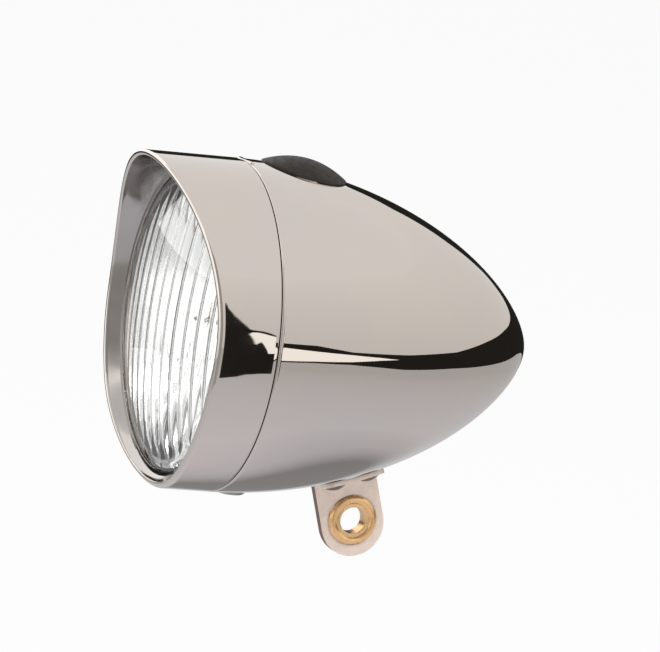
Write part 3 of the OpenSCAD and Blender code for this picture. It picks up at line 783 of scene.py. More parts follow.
@dataclass(frozen=True)
class BulletCurve:
    """Outline of the shell: its radius at each distance behind the seam."""

    radius: float = 0.040
    length: float = 0.0787
    along: float = 1.96  # The curve's exponents, along the lamp and across it.
    across: float = 1.56
    cap_radius: float = 0.0042
    cap_blend: float = 0.47

    def radius_at(self, y: float) -> float:
        """Radius at a distance behind the seam."""
        part = max(y, 0.0) / self.length
        return self.radius * max(0.0, 1 - part ** self.along) ** (1 / self.across)

    def slope_at(self, y: float) -> float:
        """Slope of the outline in radians, positive where it narrows."""
        step = 5e-5
        return math.atan((self.radius_at(y - step) - self.radius_at(y + step)) / (2 * step))

    def grown(self, by: float) -> "BulletCurve":
        """The same curve moved outward by a distance."""
        return replace(self, radius=self.radius + by, length=self.length + by)

    def outline(self, start: float, steps: int) -> list[Point2]:
        """Points from a distance behind the seam to the tip, with a round nose.

        Args:
            start: Where the outline starts.
            steps: Number of steps along the whole curve.

        Returns:
            Points as (place behind the seam, radius).
        """
        cap_y = self.length * (1 - (self.cap_radius / self.radius) ** self.across) ** (1 / self.along)
        points = [(start, self.radius_at(start))]
        for i in range(1, steps):
            y = self.length * math.sin(math.pi / 2 * i / steps)
            if start < y < cap_y:
                points.append((y, self.radius_at(y)))
        slope = math.tan(self.slope_at(cap_y))
        rise = self.cap_blend / (1 - self.cap_blend)
        half = self.cap_blend * self.cap_radius / slope / (1 - rise)
        middle = cap_y - half * rise
        height = self.cap_radius / math.sqrt(1 - rise * rise)
        points += [(y, r) for r, y in arc((0.0, middle), (height, half), math.degrees(math.asin(rise)), 90.0, 14)]
        return points[:-1] + [(points[-1][0], 0.0)]


@dataclass(frozen=True)
class LampFrame:
    """The lamp's own frame inside the row's frame, and places on the shell's surface."""

    curve: BulletCurve = BulletCurve()

    @cached_property
    def place(self) -> Matrix:
        """Moves the lamp's frame to the row's frame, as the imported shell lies."""
        low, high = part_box("rear_shell")
        return Matrix.Translation((0.0, high.y - self.curve.length, (low.z + high.z) / 2))

    def on_shell(self, y: float, around: float) -> Matrix:
        """A frame on the shell's surface.

        Args:
            y: Distance behind the seam.
            around: Angle from the top towards +X, in radians.

        Returns:
            A frame with X across, Y along the shell and Z away from it.
        """
        slope, radius = self.curve.slope_at(y), self.curve.radius_at(y)
        across = Vector((math.cos(around), 0.0, -math.sin(around)))
        along = Vector((-math.sin(slope) * math.sin(around), math.cos(slope), -math.sin(slope) * math.cos(around)))
        out = across.cross(along)
        made = Matrix((across, along, out)).transposed().to_4x4()
        made.translation = (radius * math.sin(around), y, radius * math.cos(around))
        return made

    def height(self, place: Matrix, across: float, along: float, lift: float = 0.0) -> float:
        """Height of the shell's surface over the plane of a frame on it.

        Args:
            place: A frame from on_shell.
            across: Place in that frame, across the lamp.
            along: Place in that frame, along it.
            lift: How far above the surface.

        Returns:
            The height along the frame's Z, negative where the shell falls away.
        """
        height = lift
        for _ in range(6):
            p = place @ Vector((across, along, height))
            miss = math.hypot(p.x, p.z) - self.curve.grown(lift).radius_at(p.y)
            height -= miss
        return height


# Sub-assemblies

@dataclass
class Assembly:
    """A part of the lamp: the workshop that fits its pieces, and the lamp's frame that they are worked out in."""

    shop: Workshop
    lamp: LampFrame


@dataclass
class RearShell(Assembly):
    """Chromed bullet shell with its bead, screw guides, tray boss and holes."""

    wall: float = 0.0018
    half_gap: float = 0.0001
    edge: float = 0.0003
    segments: int = 288
    steps: int = 120
    bead: Point3 = (0.009, 0.001, 0.0034)  # Its size on each axis.
    bead_z: float = 0.0367
    screw_y: float = 0.0084
    screw_hole: float = 0.00225
    screw_seat: float = 0.0040
    seat_depth: float = 0.0004
    guide: Point3 = (0.0012, 0.008, 0.0049)  # Its size on each axis.
    guide_x: float = 0.0071
    guide_z: float = -0.03311
    boss_z: float = -0.02165
    boss_r: float = 0.003
    boss_y: float = 0.0393
    boss_bore: float = 0.00142
    rib_half: float = 0.0008
    boot_y: float = 0.0157
    boot_hole: float = 0.008
    cup: Point3 = (0.0107, 0.0097, 0.00738)  # Outer radius, inner radius and depth.
    cup_top: float = 0.0012

    def outline(self) -> list[Point2]:
        """The shell's wall, from the nose's inside round the seam's edge to the nose's outside."""
        outer, inner = self.lamp.curve, self.lamp.curve.grown(-self.wall)
        start = self.half_gap + self.edge
        rounding = arc((start, outer.radius_at(start) - self.edge), (self.edge, self.edge), 180, 90, 4)
        inside = inner.outline(self.half_gap, self.steps // 2)
        return inside[::-1] + rounding[:-1] + outer.outline(start, self.steps)

    def shell(self) -> Piece:
        """The wall with its holes."""
        wall = lathe("rear_shell_skin", self.outline(), segments=self.segments)
        hole = cylinder("boot_hole", self.boot_hole, 0.012, Axis.UP)
        hole.data.transform(self.lamp.on_shell(self.boot_y, 0.0))
        radius, outside, inside = self.lamp.curve.radius_at(self.screw_y), 0.004, 0.006
        low, seat, high = -radius - outside, self.seat_depth - radius, inside - radius
        screw = lathe("screw_hole", [(low, 0), (low, self.screw_seat), (seat, self.screw_seat),
                                     (seat, self.screw_hole), (high, self.screw_hole), (high, 0)], Axis.UP)
        screw.data.transform(Matrix.Translation((0, self.screw_y, 0)))
        cut(wall, [hole, screw], 30.0)
        return wall

    def fittings(self) -> list[Piece]:
        """The bead, the guides, the boss with its rib and the boot's cup, on the shell's inside."""
        made = [block("hook_bead", self.bead, (0, self.half_gap + self.bead[1] / 2, self.bead_z + self.bead[2] / 2))]
        made += [block(f"screw_guide_{side}", self.guide,
                       (side * self.guide_x, self.screw_y, self.guide_z - self.guide[2] / 2)) for side in (-1, 1)]
        outer, inner, depth = self.cup
        top = -self.cup_top
        cup = lathe("boot_cup", [(top, outer), (top, inner), (-depth, inner), (-depth, outer)], Axis.UP, closed=True)
        cup.data.transform(self.lamp.on_shell(self.boot_y, 0.0))
        return made + [self.boss(), self.rib(), cup]

    def wall_at(self, radius: float) -> float:
        """How far behind the seam the middle of the wall lies at a distance from the axis."""
        middle = self.lamp.curve.grown(-self.wall / 2)
        return middle.length * (1 - (radius / middle.radius) ** middle.across) ** (1 / middle.along)

    def boss(self) -> Piece:
        """The boss for the tray's screw, whose far end meets the wall."""
        bore, outer, chamfer, steps = self.boss_bore, self.boss_r, 0.0003, 48
        rows = [(0, bore), (0, outer - chamfer), (chamfer, outer), (None, outer), (None, bore)]
        points = []
        for ahead, radius in rows:
            for x, z in ((radius * c, self.boss_z + radius * s) for c, s in circle(steps)):
                points.append((x, self.wall_at(math.hypot(x, z)) if ahead is None else self.boss_y + ahead, z))
        return mesh_object("tray_boss", points, weave(len(rows), steps, loop=True))

    def rib(self) -> Piece:
        """The rib from the boss down to the wall."""
        low = self.boss_z - self.boss_r + 0.0002
        end = self.wall_at(-low)
        middle = self.lamp.curve.grown(-self.wall / 2)
        stops = [self.boss_y + (end - self.boss_y) * i / 8 for i in range(9)]
        outline = [(y, -middle.radius_at(y)) for y in stops] + [(self.boss_y, low)]
        return prism("boss_rib", outline, -self.rib_half, self.rib_half, lambda y, z, x: (x, y, z), 0.0)

    def build(self) -> None:
        """Makes the shell."""
        self.shop.fit(join(self.shell(), self.fittings()), Finish.SHELL_CHROME, "root", ["rear_shell"],
                      self.lamp.place)


@dataclass
class Rim(Assembly):
    """Chromed front ring with its peaked hood, skirt, hook and tongue."""

    front: float = 0.0152
    hood_reach: float = 0.0091
    chin: float = 0.0026
    chin_start: float = 0.020
    wall: float = 0.003
    shoulder: float = 0.001
    lip: float = 0.00385
    nose_rounding: float = 0.0010
    lip_rounding: float = 0.00045
    edge: float = 0.0003
    half_gap: float = 0.0001
    skirt: Point2 = (0.003, 0.00085)  # How far back it reaches, and its thickness.
    notch: float = 0.0055
    notch_depth: float = 0.006
    notch_z: float = 0.0375
    segments: int = 288
    hook_radii: Point2 = (0.00379, 0.00499)
    hook_angles: Point2 = (-39.3, -155.0)  # Degrees.
    hook_half: float = 0.0035
    tongue_half: float = 0.0055
    tongue_slot: float = 0.0024
    tongue_y: Point3 = (-0.003, 0.0084, 0.0104)  # Its start, the screw and its end.
    tongue_r: float = 0.03701
    tongue_t: float = 0.0012

    def front_at(self, z: float) -> float:
        """Where the front edge lies: scooped above the axis, and drawn back a little at the bottom.

        Args:
            z: Height over the lamp's axis.

        Returns:
            The place on the lamp's Y axis.
        """
        radius = self.lamp.curve.radius
        scoop = (radius ** 2 + self.hood_reach ** 2) / (2 * self.hood_reach)
        low = max(-z - self.chin_start, 0.0) / (radius - self.chin_start)
        return -self.front + self.chin * low ** 2 - (scoop - math.sqrt(scoop ** 2 - max(z, 0.0) ** 2))

    def section(self) -> list[Point3]:
        """The ring's section as (place, radius, share of the front edge that the place is counted from)."""
        outer, back, edge = self.lamp.curve.radius, -self.half_gap, self.edge
        nose, lip, small = self.nose_rounding, self.lip_rounding, 0.0002
        inner, lip_in, seat = outer - self.wall, outer - nose - lip, self.lip - self.front
        start, flat, ring_in = back - edge, seat - 2 * small, inner - self.shoulder
        reach, thick = self.skirt
        points = [(back + y - edge, outer - edge + r, 0.0) for y, r in arc((0, 0), (edge, edge), 0, 90, 4)]
        points += [(start * (1 - s) + nose * s, outer, s) for s in (i / 24 for i in range(1, 24))]
        points += [(nose - y, outer - nose + r, 1.0) for y, r in arc((0, 0), (nose, nose), 90, 0, 14)]
        points += [(lip - y, lip_in + lip + r, 1.0) for y, r in arc((0, 0), (lip, lip), 0, -90, 6)]
        points += [(lip * (1 - s) + flat * s, lip_in * (1 - s) + inner * s, 1 - s)
                   for s in (i / 8 for i in range(1, 9))]
        back_part = [(seat - 0.0003, ring_in + 0.00005), (seat - 0.0001, ring_in), (seat, ring_in + 0.0001),
                     (seat, inner), (back - 0.001, inner), (reach - small, inner), (reach, inner + small),
                     (reach, inner + thick - small), (reach - small, inner + thick), (back, inner + thick)]
        return points + [(place, radius, 0.0) for place, radius in back_part]

    def ring(self) -> Piece:
        """The ring, whose front edge follows the hood, with the bezel's faces marked."""
        section = self.section()
        points = [(radius * c, place + share * self.front_at(radius * s), radius * s)
                  for place, radius, share in section for c, s in circle(self.segments)]
        ring = mesh_object("rim_ring", points, weave(len(section), self.segments, loop=True), 40.0)
        depth = self.notch_depth
        cut(ring, [block("skirt_notch", (2 * self.notch, depth, depth), (0, depth / 2, self.notch_z))], 40.0)
        bezel_r, bezel_end = self.lamp.curve.radius - self.nose_rounding - self.lip_rounding, self.lip - self.front
        for face in ring.data.polygons:
            middle = face.center
            face.material_index = int(middle.y < bezel_end and math.hypot(middle.x, middle.z) < bezel_r)
        return ring

    def hook(self) -> Piece:
        """The hook at the top, an arc round the seam's top."""
        inner, outer = self.hook_radii
        first, last = self.hook_angles
        outline = arc((0, 0), (outer, outer), first, last, 20) + arc((0, 0), (inner, inner), last, first, 20)
        top = self.lamp.curve.radius
        return prism("rim_hook", outline, -self.hook_half, self.hook_half, lambda y, z, x: (x, y, top + z), 0.0002)

    def tongue(self) -> Piece:
        """The slotted tongue at the bottom that the clamp plate grips."""
        half, slot, radius = self.tongue_half, self.tongue_slot, self.tongue_r
        start, screw, end = self.tongue_y
        outline = [(-half + 2 * half * i / 12, start) for i in range(13)] + [(half, end), (slot, end)]
        outline += arc((0, screw), (slot, slot), 0, -180, 16) + [(-slot, end), (-half, end)]
        return prism("rim_tongue", outline, 0.0, self.tongue_t,
                     lambda x, y, h: (x, y, -math.sqrt(radius ** 2 - x * x) + h), 0.00015)

    def build(self) -> None:
        """Makes the rim."""
        self.shop.fit(join(self.ring(), [self.hook(), self.tongue()]), Finish.RIM_CHROME, "front", ["rim"],
                      self.lamp.place, edge=Finish.BEZEL_CHROME)


@dataclass
class Optics(Assembly):
    """Lens, reflector and the bulb's glass."""

    stack_r: float = 0.0368
    edge_y: float = -0.01105
    rise: float = 0.005
    wall: float = 0.0022
    pitch: float = 0.0057
    depth: float = 0.0008
    flutes: int = 11
    fluted_r: float = 0.0325
    fade: float = 0.0022
    seat_w: float = 0.002
    gasket: float = 0.0009
    rim_w: float = 0.0028
    apex: float = 0.0151
    dish_wall: float = 0.0014
    neck: Point3 = (0.0057, 0.0071, 0.0200)  # Inner radius, outer radius and end.
    bulb_r: float = 0.0056
    bulb_y: float = 0.003
    bulb_neck: float = 0.00385
    bulb_end: float = 0.0135
    bulb_wall: float = 0.0005

    @property
    def dome_r(self) -> float:
        """Radius of the lens's outer face."""
        return (self.stack_r ** 2 + self.rise ** 2) / (2 * self.rise)

    @property
    def dome_y(self) -> float:
        """Centre of that sphere."""
        return self.dome_r - self.rise + self.edge_y

    @property
    def back_y(self) -> float:
        """The lens's flat back edge."""
        return self.dome_y - math.sqrt((self.dome_r - self.wall) ** 2 - self.stack_r ** 2) + 0.0001

    def flute(self, x: float, radius: float) -> float:
        """Depth of the flutes at a place, fading out towards the lens's smooth edge.

        Args:
            x: Place across the lamp.
            radius: Distance from the lamp's axis.

        Returns:
            The depth, 0 where there are no flutes.
        """
        arc_r = (self.pitch ** 2 / 4 + self.depth ** 2) / (2 * self.depth)
        turn = x / self.pitch + 0.5
        off = (turn - math.floor(turn) - 0.5) * self.pitch
        fade = min(1.0, max(0.0, (self.fluted_r - radius) / self.fade))
        return fade * (self.depth - arc_r + math.sqrt(arc_r ** 2 - off ** 2))

    def front(self, x: float, z: float) -> float:
        """The lens's outer face."""
        return self.dome_y - math.sqrt(self.dome_r ** 2 - x * x - z * z)

    def back(self, x: float, z: float) -> float:
        """The lens's inner face, fluted in the middle and flat at its seat.

        Args:
            x: Place across the lamp.
            z: Height over its axis.

        Returns:
            The place on the lamp's Y axis.
        """
        radius = math.hypot(x, z)
        if radius > self.stack_r - self.seat_w:
            return self.back_y
        back_r = self.dome_r - self.wall + self.flute(x, radius)
        return self.dome_y - math.sqrt(back_r ** 2 - x * x - z * z)

    def lens(self) -> Piece:
        """The lens, on a grid whose columns follow the flutes, with rings round it out to its edge."""
        columns, rows, rings = 16 * self.flutes + 8, 44, 4
        reach = self.fluted_r * 0.9995
        flat: list[Point2] = []
        for x in (-reach + 2 * reach * i / columns for i in range(columns + 1)):
            half = math.sqrt(self.fluted_r ** 2 - x * x)
            flat += [(x, half * (2 * j / rows - 1)) for j in range(rows + 1)]
        faces = [(a, d, c, b) for a, b, c, d in weave(columns + 1, rows + 1, wrap=False)]
        border = [i * (rows + 1) for i in range(columns + 1)]
        border += [columns * (rows + 1) + j for j in range(1, rows + 1)]
        border += [i * (rows + 1) + rows for i in range(columns - 1, -1, -1)]
        border += list(range(rows - 1, 0, -1))
        rim, seat, last = [flat[corner] for corner in border], self.stack_r - self.seat_w, border
        radii = [self.fluted_r + (seat - self.fluted_r) * k / rings for k in range(1, rings + 1)]
        radii += [seat + 1e-5] + [seat + self.seat_w * k / rings for k in range(1, rings + 1)]
        for radius in radii:
            fresh = list(range(len(flat), len(flat) + len(rim)))
            flat += [(x * scale, z * scale) for x, z, scale in ((x, z, radius / math.hypot(x, z)) for x, z in rim)]
            faces += band(last, fresh)
            last = fresh
        size = len(flat)
        points = [(x, self.front(x, z), z) for x, z in flat] + [(x, self.back(x, z), z) for x, z in flat]
        behind = [tuple(size + corner for corner in reversed(face)) for face in faces]
        sides = band(last, [size + corner for corner in last])
        return mesh_object("lens_clear", points, faces + behind + sides, 40.0)

    def dish(self) -> list[Point2]:
        """The reflector's section, a closed loop."""
        start, lip = self.back_y + self.gasket, self.stack_r - self.rim_w
        k = lip ** 2 / (self.apex - start)
        inner, outer, end = self.neck
        bowl = [lip + (inner - lip) * i / 60 for i in range(61)]
        thick = self.dish_wall * 1.15
        return [(start, self.stack_r), (start, lip + 0.0006), *((self.apex - r * r / k, r) for r in bowl),
                (end, inner), (end, outer), (self.apex - outer ** 2 / k + thick, outer),
                *((self.apex - r * r / k + thick, r + thick / 2) for r in reversed(bowl[2:-8:2])),
                (start + self.dish_wall, lip + 0.001), (start + self.dish_wall, self.stack_r)]

    def bulb(self) -> list[Point2]:
        """The bulb's wall: round outside, narrowing to its neck, and back inside."""
        def skin(gap: float) -> list[Point2]:
            """One face of the wall.

            Args:
                gap: How far it lies inside the outer face.

            Returns:
                Its outline from the front to the neck's end, as (place, radius).
            """
            ball, neck = self.bulb_r - gap, self.bulb_neck - gap
            side = math.degrees(math.acos((neck + 0.0008) / ball))
            around = [(self.bulb_y + y, r) for r, y in arc((0, 0), (ball, ball), -90, side, 30)]
            throat = around[-1][0]
            return [(around[0][0], 0.0)] + around[1:] + [(throat + 0.0009, neck + 0.0002), (throat + 0.0020, neck),
                                                        (self.bulb_end, neck)]
        return skin(0.0) + skin(self.bulb_wall)[::-1]

    def build(self) -> None:
        """Makes the optics."""
        for piece, finish, node in (
                (self.lens(), Finish.LENS, "lens"),
                (lathe("reflector_dish", self.dish(), segments=192, closed=True), Finish.MIRROR, "reflector"),
                (lathe("bulb_envelope", self.bulb(), segments=64, angle=60.0), Finish.GLASS, "bulb_glass")):
            self.shop.fit(piece, finish, "front", [node], self.lamp.place)


@dataclass
class PushSwitch(Assembly):
    """Rubber boot over the push switch, and the spring inside."""

    place_y: float = 0.0157
    radius: float = 0.0105
    crown: float = 0.0029
    edge: float = 0.00045
    wall: float = 0.0011
    neck_r: float = 0.00795
    flange: Point3 = (0.0094, -0.00318, -0.00438)  # Radius, top and end.
    segments: int = 128
    coil_r: float = 0.00465
    coil_wire: float = 0.00025
    coil_z: Point2 = (-0.0140, -0.00768)
    coil_turns: float = 4.0

    def boot(self, local: Matrix) -> Piece:
        """The boot: a low dome that follows the shell at its edge, with its neck and flange inside.

        Args:
            local: The switch's frame on the shell.

        Returns:
            The boot, in that frame.
        """
        inner, rounding, foot = self.neck_r - self.wall, 0.00018, 0.00002
        flange_r, flange_top, flange_end = self.flange

        def dome(r: float) -> float:
            """Height of the crown at a distance from its middle."""
            return self.edge + (self.crown - self.edge) * (1 - (r / self.radius) ** 2)

        # Each row is a radius, whether its height is counted from the shell, and that height.
        rows: list[tuple[float, bool, float]] = [(r, True, dome(r)) for r in (self.radius * i / 28 for i in range(28))]
        rows += [(self.radius - rounding + r, True, self.edge - rounding + h)
                 for r, h in arc((0, 0), (rounding, rounding), 75, 0, 4)]
        rows += [(self.radius, True, foot), (self.neck_r, True, foot), (self.neck_r, False, flange_top),
                 (flange_r, False, flange_top), (flange_r, False, flange_end), (inner, False, flange_end)]
        rows += [(r, True, dome(r) - self.wall) for r in (inner * i / 12 for i in range(12, -1, -1))]
        points = []
        for radius, on_shell, height in rows:
            for a, b in ((radius * c, radius * s) for c, s in circle(self.segments)):
                points.append((a, b, (self.lamp.height(local, a, b) if on_shell else 0.0) + height))
        return mesh_object("switch_boot_dome", points, weave(len(rows), self.segments), 50.0)

    def coil(self) -> Piece:
        """The return spring."""
        low, high = self.coil_z
        path = spiral(Axis.UP, (self.coil_r, self.coil_r), (low + self.coil_wire, high - self.coil_wire),
                      self.coil_turns, round(24 * self.coil_turns))
        return tube_along("switch_return_spring", path, self.coil_wire, 8)

    def build(self) -> None:
        """Makes the boot and the spring, which stay off their body."""
        local = self.lamp.on_shell(self.place_y, 0.0)
        place = self.lamp.place @ local
        for piece, finish, node, low, high in (
                (self.boot(local), Finish.RUBBER, "switch_boot", self.edge, self.crown),
                (self.coil(), Finish.SPRING, "switch_spring", *self.coil_z)):
            self.shop.fit(piece, finish, "root", [node], place, ride=False)
            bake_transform(piece)


@dataclass
class Bracket(Assembly):
    """Two riveted sheet halves, back to back, and the rolled eyelet through them."""

    place_y: float = 0.0368
    half_w: float = 0.008
    sheet: float = 0.0012
    drop: float = 0.01165
    end_past: float = 0.001
    flange_w: float = 0.0096
    corner: float = 0.0025
    bend: float = 0.0011
    bore: float = 0.00325
    barrel: float = 0.0006
    roll_w: float = 0.00295
    roll_h: float = 0.00135
    ridge: float = 0.0011
    lead_in: float = 0.0003
    bore_half: float = 0.0021
    rivet_out: float = 0.0053
    rivet_pitch: float = 0.0088
    rivet_head: float = 0.0029
    rivet_h: float = 0.0011
    rivet_shank: float = 0.0016
    plate_t: float = 0.001
    wall: float = 0.0018  # The shell's.
    hole_gap: float = 5e-5
    edge: float = 0.00014

    def half(self, name: str, side: int, local: Matrix) -> Piece:
        """One sheet half: its flange on the shell, the bend and the tab with its round end.

        Args:
            name: Name of the piece.
            side: -1 for the lamp's left half and 1 for its right.
            local: The bracket's frame on the shell.

        Returns:
            The half, in the lamp's frame, with its cut edges marked.
        """
        mid, across, wide, corner = self.sheet / 2, 26, self.half_w, self.corner
        bend_x, corner_x, tab_end = mid + self.bend, self.flange_w - corner, self.drop + self.end_past
        corners, turns, ends = ([math.radians(degrees) for degrees in angles] for angles in (
            range(88, -1, -11), [90.0 * i / 7 for i in range(1, 8)], [90.0 * i / 18 for i in range(1, 18)]))
        flange = [(corner_x + corner * math.sin(a), wide - corner * (1 - math.cos(a))) for a in corners]
        flange += [(corner_x + (bend_x - corner_x) * i / 5, wide) for i in range(6)]
        # Each row is its place across, where the shell's height is taken if anywhere, what is added to that
        # height, and half its width.
        rows: list[tuple[float, float | None, float, float]] = [(x, x, 0.0, half) for x, half in flange]
        rows += [(bend_x - self.bend * math.sin(a), bend_x, self.bend * (1 - math.cos(a)), wide) for a in turns]
        rows += [(mid, None, tab_end * (0.35 + 0.65 * i / 7), wide) for i in range(8)]
        rows += [(mid, None, tab_end + wide * math.sin(a), wide * math.cos(a)) for a in ends]
        points = []
        for x, foot, rise, half in rows:
            for v in (half * (2 * j / across - 1) for j in range(across + 1)):
                base = 0.0 if foot is None else self.lamp.height(local, side * foot, v, mid)
                points.append(local @ Vector((side * x, v, base + rise)))
        obj = mesh_object(name, points, weave(len(rows), across + 1, wrap=False), 60.0)
        for _ in range(2):
            obj.data.materials.append(None)
        thick = obj.modifiers.new("sheet", "SOLIDIFY")
        thick.thickness, thick.offset, thick.use_even_offset = self.sheet, 0.0, True
        thick.material_offset_rim = 1
        apply_modifiers(obj)
        hole = cylinder("eyelet_hole", self.bore + self.barrel + self.hole_gap, 0.004, Axis.ACROSS, 64)
        hole.data.transform(Matrix.Translation(local @ Vector((0, 0, self.drop))))
        cut(obj, [hole], 40.0)
        round_edges(obj, self.edge, 50.0)
        # The flange's edges go back to the zinc; the tab's marked edges keep the dark finish that paints shade on
        # them.
        for face in obj.data.polygons:
            if abs(face.center.x) > bend_x:
                face.material_index = 0
        return obj

    def rivet(self, name: str, x: int, y: int) -> Piece:
        """One rivet: a domed head outside, its shank and its flat inner head.

        Args:
            name: Name of the piece.
            x: 1 on the lamp's left and -1 on its right.
            y: -1 at the bracket's front end and 1 at its back end.

        Returns:
            The rivet, in the lamp's frame.
        """
        head, shank, top, inside = self.rivet_head, self.rivet_shank, self.sheet, -self.wall - self.plate_t
        ball = (head ** 2 + self.rivet_h ** 2) / (2 * self.rivet_h)
        slope, radius = self.lamp.curve.slope_at(self.place_y), self.lamp.curve.radius_at(self.place_y)
        sweep = math.degrees(math.asin(head / ball)) * 0.96
        dome = [(top + self.rivet_h - ball + h, r) for h, r in arc((0, 0), (ball, ball), 0, sweep, 14)]
        outline = [(dome[0][0], 0.0)] + dome[1:] + [
            (top + 0.00004, head), (top, head - 0.0001), (top, shank), (inside, shank), (inside, shank + 0.0007),
            (inside - 0.0007, shank + 0.0008), (inside - 0.0009, shank + 0.0005), (inside - 0.0009, 0.0)]
        obj = lathe(name, outline, Axis.UP, 56, angle=45.0)
        obj.data.transform(self.lamp.on_shell(self.place_y + y * self.rivet_pitch / 2 * math.cos(slope),
                                              math.pi - x * math.asin(self.rivet_out / radius)))
        return obj

    def eyelet(self) -> Piece:
        """The rolled eyelet, turned about the row's X axis, with a shallow groove inside its roll."""
        lead_in = self.lead_in
        right = arc((self.bore_half - lead_in, self.bore + lead_in), (lead_in, lead_in), -90, 0, 5)
        right += arc((self.sheet, self.bore + self.roll_w - self.ridge), (self.roll_h, self.ridge), -55, 90, 20)
        right += [(self.sheet, self.bore + self.barrel)]
        left = [(-x, r) for x, r in reversed(right)]
        return lathe("mounting_eyelet", right + left, Axis.ACROSS, 96, closed=True, angle=50.0)

    def build(self) -> None:
        """Makes the bracket. Mirror rays miss its sheets and eyelet, as in the photograph."""
        local, place = self.lamp.on_shell(self.place_y, math.pi), self.lamp.place
        for word, side in (("left", -1), ("right", 1)):
            sheet = self.half(f"bracket_half_{word}", side, local)
            # The sheet's tab edges get the finish that paints shade on them.
            self.shop.fit(sheet, Finish.ZINC, "root", [f"bracket_{word}"], place, edge=Finish.EDGE_SHADE)
            sheet.visible_glossy = False
        for x, y in ((-1, -1), (-1, 1), (1, -1), (1, 1)):
            name = f"rivet_{'left' if x > 0 else 'right'}_{'front' if y < 0 else 'back'}"
            self.shop.fit(self.rivet(name, x, y), Finish.RIVET, "root", ["bracket_rivets"], place, slot=Finish.ZINC)
        self.shop.fit(self.eyelet(), Finish.BRASS, "root", ["mount_eyelet"]).visible_glossy = False


@dataclass
class BatteryPack(Assembly):
    """Three cells in their bays, their springs and the two leads from the switch."""

    cell_r: float = 0.00525
    cell_l: float = 0.0445
    nub_r: float = 0.0019
    nub_l: float = 0.0008
    spring_l: float = 0.0032
    spring_wire: float = 0.0003
    cells: tuple[tuple[str, int], ...] = (("lower", 1), ("middle", -1), ("upper", 1))  # 1: its button is at +X.
    lead_r: float = 0.0006
    lead_gap: float = 5e-5

    def can(self, name: str) -> Piece:
        """The cell's bare can with its contact button.

        Args:
            name: Name of the piece.

        Returns:
            The can, along X from its flat end.
        """
        r, end = self.cell_r - 0.00012, self.cell_l - self.nub_l
        outline = [(0.0, 0.0), (0.0, r - 0.0012), (0.00025, r - 0.0009), (0.0, r - 0.0005), (0.0002, r - 0.0001),
                   (0.0005, r), (end - 0.0006, r), (end - 0.0001, r - 0.0004), (end, r - 0.0009),
                   (end - 0.0004, r - 0.0012), (end - 0.0003, self.nub_r + 0.0004), (end - 0.0001, self.nub_r),
                   (self.cell_l - 0.0002, self.nub_r), (self.cell_l, self.nub_r - 0.0002), (self.cell_l, 0.0)]
        return lathe(name, outline, Axis.ACROSS, 72)

    def sleeve(self, name: str) -> Piece:
        """The shrunk film sleeve round the can, turned in over both of its ends.

        Args:
            name: Name of the piece.

        Returns:
            The sleeve, in the can's frame.
        """
        r, end = self.cell_r, self.cell_l - self.nub_l
        outline = [(-0.00002, r - 0.0011), (-0.0001, r - 0.0004), (0.0003, r), (end - 0.0004, r),
                   (end + 0.00005, r - 0.0005), (end + 0.00003, r - 0.0012), (end - 0.0001, r - 0.0012),
                   (end - 0.0006, r - 0.0001), (0.0004, r - 0.0001), (0.0001, r - 0.0011)]
        outline = [(max(along, 0.0), out) for along, out in outline]
        return lathe(name, outline, Axis.ACROSS, 72, closed=True)

    def spring(self, name: str) -> Piece:
        """A conical contact spring, along X."""
        path = spiral(Axis.ACROSS, (0.6 * self.cell_r, 0.4 * self.cell_r),
                      (self.spring_wire, self.spring_l - self.spring_wire), 2.5, 60)
        return tube_along(name, path, self.spring_wire, 10)

    def lead(self, name: str, side: int) -> Piece:
        """One insulated lead from its terminal to the tray's top.

        Args:
            name: Name of the piece.
            side: 1 on the lamp's left and -1 on its right.

        Returns:
            The lead, in the row's frame.
        """
        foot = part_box("switch_terminals")[0].z + 0.0004
        low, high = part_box("switch_leads")
        tray_low, tray_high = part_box("battery_tray")
        top = tray_high.z + self.lead_r
        stops = [(0.0039, low.y + self.lead_r, foot), (0.0040, (3 * low.y + tray_low.y) / 4, foot - 0.0012),
                 (0.0042, (low.y + tray_low.y) / 2, (foot + top) / 2 - 0.0004),
                 (0.0050, low.y / 7 + tray_low.y * 6 / 7, top + 0.0003), (0.0055, tray_low.y + 0.0012, top),
                 (high.x - self.lead_r, high.y - self.lead_r, top)]
        path = smooth_path([Vector((side * x, y, z)) for x, y, z in stops], 6)
        return tube_along(name, path, self.lead_r - self.lead_gap)

    def build(self) -> None:
        """Makes the cells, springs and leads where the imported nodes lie."""
        for level, way in self.cells:
            low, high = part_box(f"cell_{level}")
            place = Matrix.Translation((low.x if way > 0 else high.x, (low.y + high.y) / 2, (low.z + high.z) / 2))
            place = place @ Matrix.Rotation(math.pi if way < 0 else 0.0, 4, "Z")
            self.shop.fit(self.can(f"cell_{level}_can"), Finish.SCREW, "root", [f"cell_{level}"], place)
            self.shop.fit(self.sleeve(f"cell_{level}_sleeve"), Finish.CELL_JACKET, "root", [f"cell_{level}"], place)
            self.shop.fit(self.spring(f"contact_spring_{level}"), Finish.SPRING, "root", ["battery_springs"],
                          Matrix.Translation((-way * self.spring_l, 0, 0)) @ place)
        for side, word in ((-1, "right"), (1, "left")):
            self.shop.fit(self.lead(f"switch_lead_{word}", side), Finish.LEAD, "root", ["switch_leads"])


